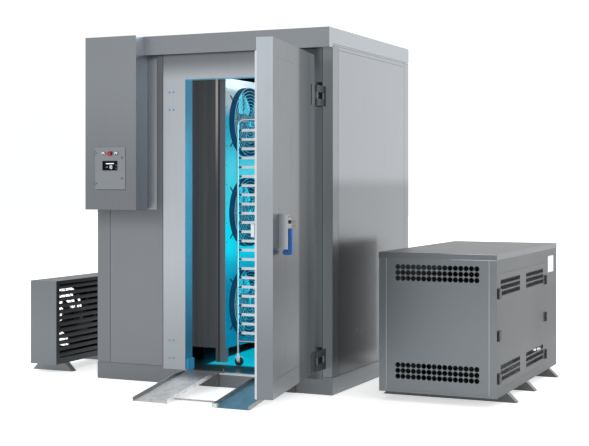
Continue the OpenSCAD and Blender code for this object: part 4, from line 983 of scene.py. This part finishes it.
bm = bmesh.new()
heads_top = 0.415
for across in (1.6296, 1.7396):
    for along in (-0.297, -0.177, -0.067, 0.053):
        turned(bm, pointing((across, along, heads_top), UP),
               [(0.011, 0), (0.011, 0.002), (0.0085, 0.0022), (0.0085, 0.009), (0.006, 0.0105),
                (0, 0.0105)], 6)
piece("compressor_bolts", bm, "dull_steel")
bm = bmesh.new()
turned(bm, pointing((1.4151, -0.182, 0.5534), UP),
       [(0.016, 0), (0.016, 0.010), (0.009, 0.012), (0.009, 0.030), (0.013, 0.032),
        (0.013, 0.046), (0.005, 0.050), (0.005, 0.058), (0, 0.058)], 24)
piece("receiver_valve", bm, "turned_brass")

bm = bmesh.new()
for up in (0.10, 0.36, 0.62, 0.88):
    for along in (-0.74, -0.20, 0.30, 0.82):
        cap(bm, pointing((unit_low.x, along, up), LEFT), 0.004, 0.0018)
    for across in (1.262, 1.984):
        cap(bm, pointing((across, unit_high.y, up), BACK), 0.004, 0.0018)
piece("unit_rivets", bm, "dull_steel")

# %% [markdown]
# The unit's vents are rows of holes. The press leaves a narrow raised rim round each, dark with
# painted shade that makes each hole's dark look wider. The lathe turns the rims, and loops set
# them at the pitch of the holes. Those of the side door ride on the door.

# %% Rims of the vents
HOLE_PITCH, ROW_PITCH = 0.0344, 0.036


def vent_rims(bm, middle, along, outwards, columns):
    """The pressed rim round each hole of a vent, three rows of them; its dark is painted shade."""
    profile = [(0.0146, 0), (0.0150, 0.0006), (0.0164, 0.0006), (0.0170, 0)]
    for column in range(columns):
        for row in (-1, 0, 1):
            at = Vector(middle) + Vector(along) * ((column - (columns - 1) / 2) * HOLE_PITCH)
            at.z += row * ROW_PITCH
            turned(bm, pointing(at, outwards), profile, 16)


casing_width = 0.770
middle = unit_low.x + casing_width / 2
bm = bmesh.new()
for up in (0.197, 0.819):
    vent_rims(bm, (middle, unit_low.y + 0.0015, up), RIGHT, AHEAD, 16)
    vent_rims(bm, (middle, unit_high.y, up), RIGHT, BACK, 16)
piece("unit_vent_rims", bm, "dark_steel")

bm = bmesh.new()
for along in (-0.449, 0.198):
    for up in (0.205, 0.735):
        vent_rims(bm, (UNIT_SIDE, along, up), BACK, RIGHT, 14)
piece("unit_door_rims", bm, "dark_steel", "unit_door")

# %% [markdown]
# Folded sheet shows its bends as thin bright lines, down the front's corner posts and along the
# lid. The frame's edges are sharp and have none, so thin bright bars lie there as painted
# highlights.

# %% Painted highlights on the unit's edges
bm = bmesh.new()
post_width, half_line = 0.0490, 0.0011
for across in (unit_low.x + post_width, unit_low.x + casing_width - post_width):
    bar(bm, (across - half_line, unit_low.y + 0.0002, 0.063),
        (across + half_line, unit_low.y + 0.0014, 0.909), 0.0003)
bar(bm, (1.60, unit_low.y - 0.0030, 0.9430), (2.009, unit_low.y - 0.0020, 0.9452), 0.0003)
bar(bm, (1.66, unit_low.y - 0.0012, 0.9076), (2.007, unit_low.y - 0.0002, 0.9100), 0.0003)
piece("unit_edge_highlights", bm, "bright_steel")

# %% [markdown]
# The rear isn't seen in the photograph. Panels of such rooms are held along their edges, so a line
# of screws runs down each side of the rear wall and beside its middle joint. The outside
# condenser's fan has a cap on its hub, and its casing has screws at the back.

# %% Screws at the back and on the condenser
bm = bmesh.new()
first_screw, screw_pitch = 0.25, 0.28
for k in range(8):
    for across in (-0.86, -0.045, 0.045, 0.86):
        screw(bm, pointing((across, REAR, first_screw + screw_pitch * k), BACK), 0.006)
piece("rear_screws", bm, "dull_steel")

fan = Vector(joints["condenser_fan_spin"]["pos_m"])
condenser_low, condenser_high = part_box("condenser_housing")
condenser_back = -1.531
bm = bmesh.new()
for along in (condenser_low.y + 0.018, condenser_high.y - 0.018):
    for up in (0.10, 0.36, 0.62):
        screw(bm, pointing((condenser_back, along, up), LEFT), 0.005)
piece("condenser_screws", bm, "dull_steel")
bm = bmesh.new()
cap(bm, pointing((fan.x + 0.017, fan.y, fan.z), RIGHT), 0.042, 0.012)
piece("condenser_fan_cap", bm, "fan_black", "condenser_fan")
print(len(made_pieces), "small pieces made")

# %% [markdown]
# ## The studio
# The photograph shows a white ground and a white background nearly without shadows, and steel of
# a middle grey. Both come from one soft world. Brushed steel shows the light that it looks at, so
# the world is brighter in five directions: behind on the right for the cabinet's side, in front
# for the open door's edge, and to the right, to the left and above for the other views.

# %% A soft white world
world = bpy.data.worlds.new("studio")
scene.world = world
world.use_nodes = True
sky = world.node_tree
look = node(sky, "ShaderNodeTexCoord", output="Generated")


def towards(way, sharp):
    """1 where one looks exactly that way, and less the further away from it."""
    cosine = node(sky, "ShaderNodeVectorMath", {"operation": "DOT_PRODUCT"},
                  {0: look, 1: Vector(way).normalized()}, output="Value")
    return node(sky, "ShaderNodeMath", {"operation": "MAXIMUM"}, {0: cosine, 1: 0.0}) ** sharp


light = 0.91
for way, sharp, strength in (((0.5, 0.85, 0.15), 3, 0.82), ((-0.05, -1, 0.05), 8, 0.8),
                             ((1, 0.25, 0.05), 12, 1.9), ((-1, 0.2, 0.05), 9, 0.7),
                             ((0, 0.2, 1), 5, 0.5)):
    light = light + towards(way, sharp) * strength
sky.links.new(light.socket, sky.nodes["Background"].inputs["Strength"])
sky.nodes["Background"].inputs["Color"].default_value = (0.99, 0.995, 1.0, 1.0)
print("a world of", len(sky.nodes), "nodes")

# %% [markdown]
# The floor is one large sheet half a millimetre below the feet. It glows a little, so it is as
# white as the background and its far edge doesn't show.

# %% A white floor
half = 40.0
floor_mesh = bpy.data.meshes.new("floor")
floor_mesh.from_pydata([(-half, -half, 0), (half, -half, 0), (half, half, 0), (-half, half, 0)],
                       [], [(0, 1, 2, 3)])
floor = bpy.data.objects.new("floor", floor_mesh)
scene.collection.objects.link(floor)
floor.location.z = -0.0005
ground = Finish("ground", Roughness=0.8, Emission_Strength=0.55)
pale = 0.98 + ground.noise(0.7, 3.0) * 0.03
ground.feed(Base_Color=ground.shade((0.93, 0.93, 0.93), pale),
            Emission_Color=ground.shade((1, 1, 1), pale))
floor_mesh.materials.append(finishes["ground"])
print("the floor is", 2 * half, "m wide")

# %% [markdown]
# The lamps hang on the inner side of the front wall, beside the doorway, so the open door hides
# them. Their ribbed covers shine by themselves, but a narrow area light in front of the right one
# carries the light to the fan panel and the trolley with far less grain. A small one lights the
# floor, and a white one the panel's top, which the photograph shows white.

# %% Cyan light inside
def shine(name, at, aim, size, power, colour):
    """A rectangular light at a point, aimed at another."""
    data = bpy.data.lights.new(name, "AREA")
    data.shape, data.size, data.size_y = "RECTANGLE", *size
    data.energy, data.color, data.spread = power, colour, math.radians(100)
    made = bpy.data.objects.new(name, data)
    made.location = at
    made.rotation_euler = (Vector(aim) - Vector(at)).to_track_quat("-Z", "Y").to_euler()
    scene.collection.objects.link(made)
    made.visible_camera = False


shine("lamp_light", (0.70, -0.56, 1.10), (-0.10, 0.05, 1.0), (0.05, 1.7), 8.0, (0.0, 0.72, 1.0))
shine("floor_light", (0.62, -0.30, 0.75), (0.25, -0.20, 0.10), (0.3, 0.3), 1.2, (0.0, 0.80, 1.0))
shine("top_light", (0.45, -0.30, 2.24), (-0.10, -0.10, 2.05), (0.2, 0.2), 1.2, (1.0, 1.0, 1.0))
print("three lights inside")
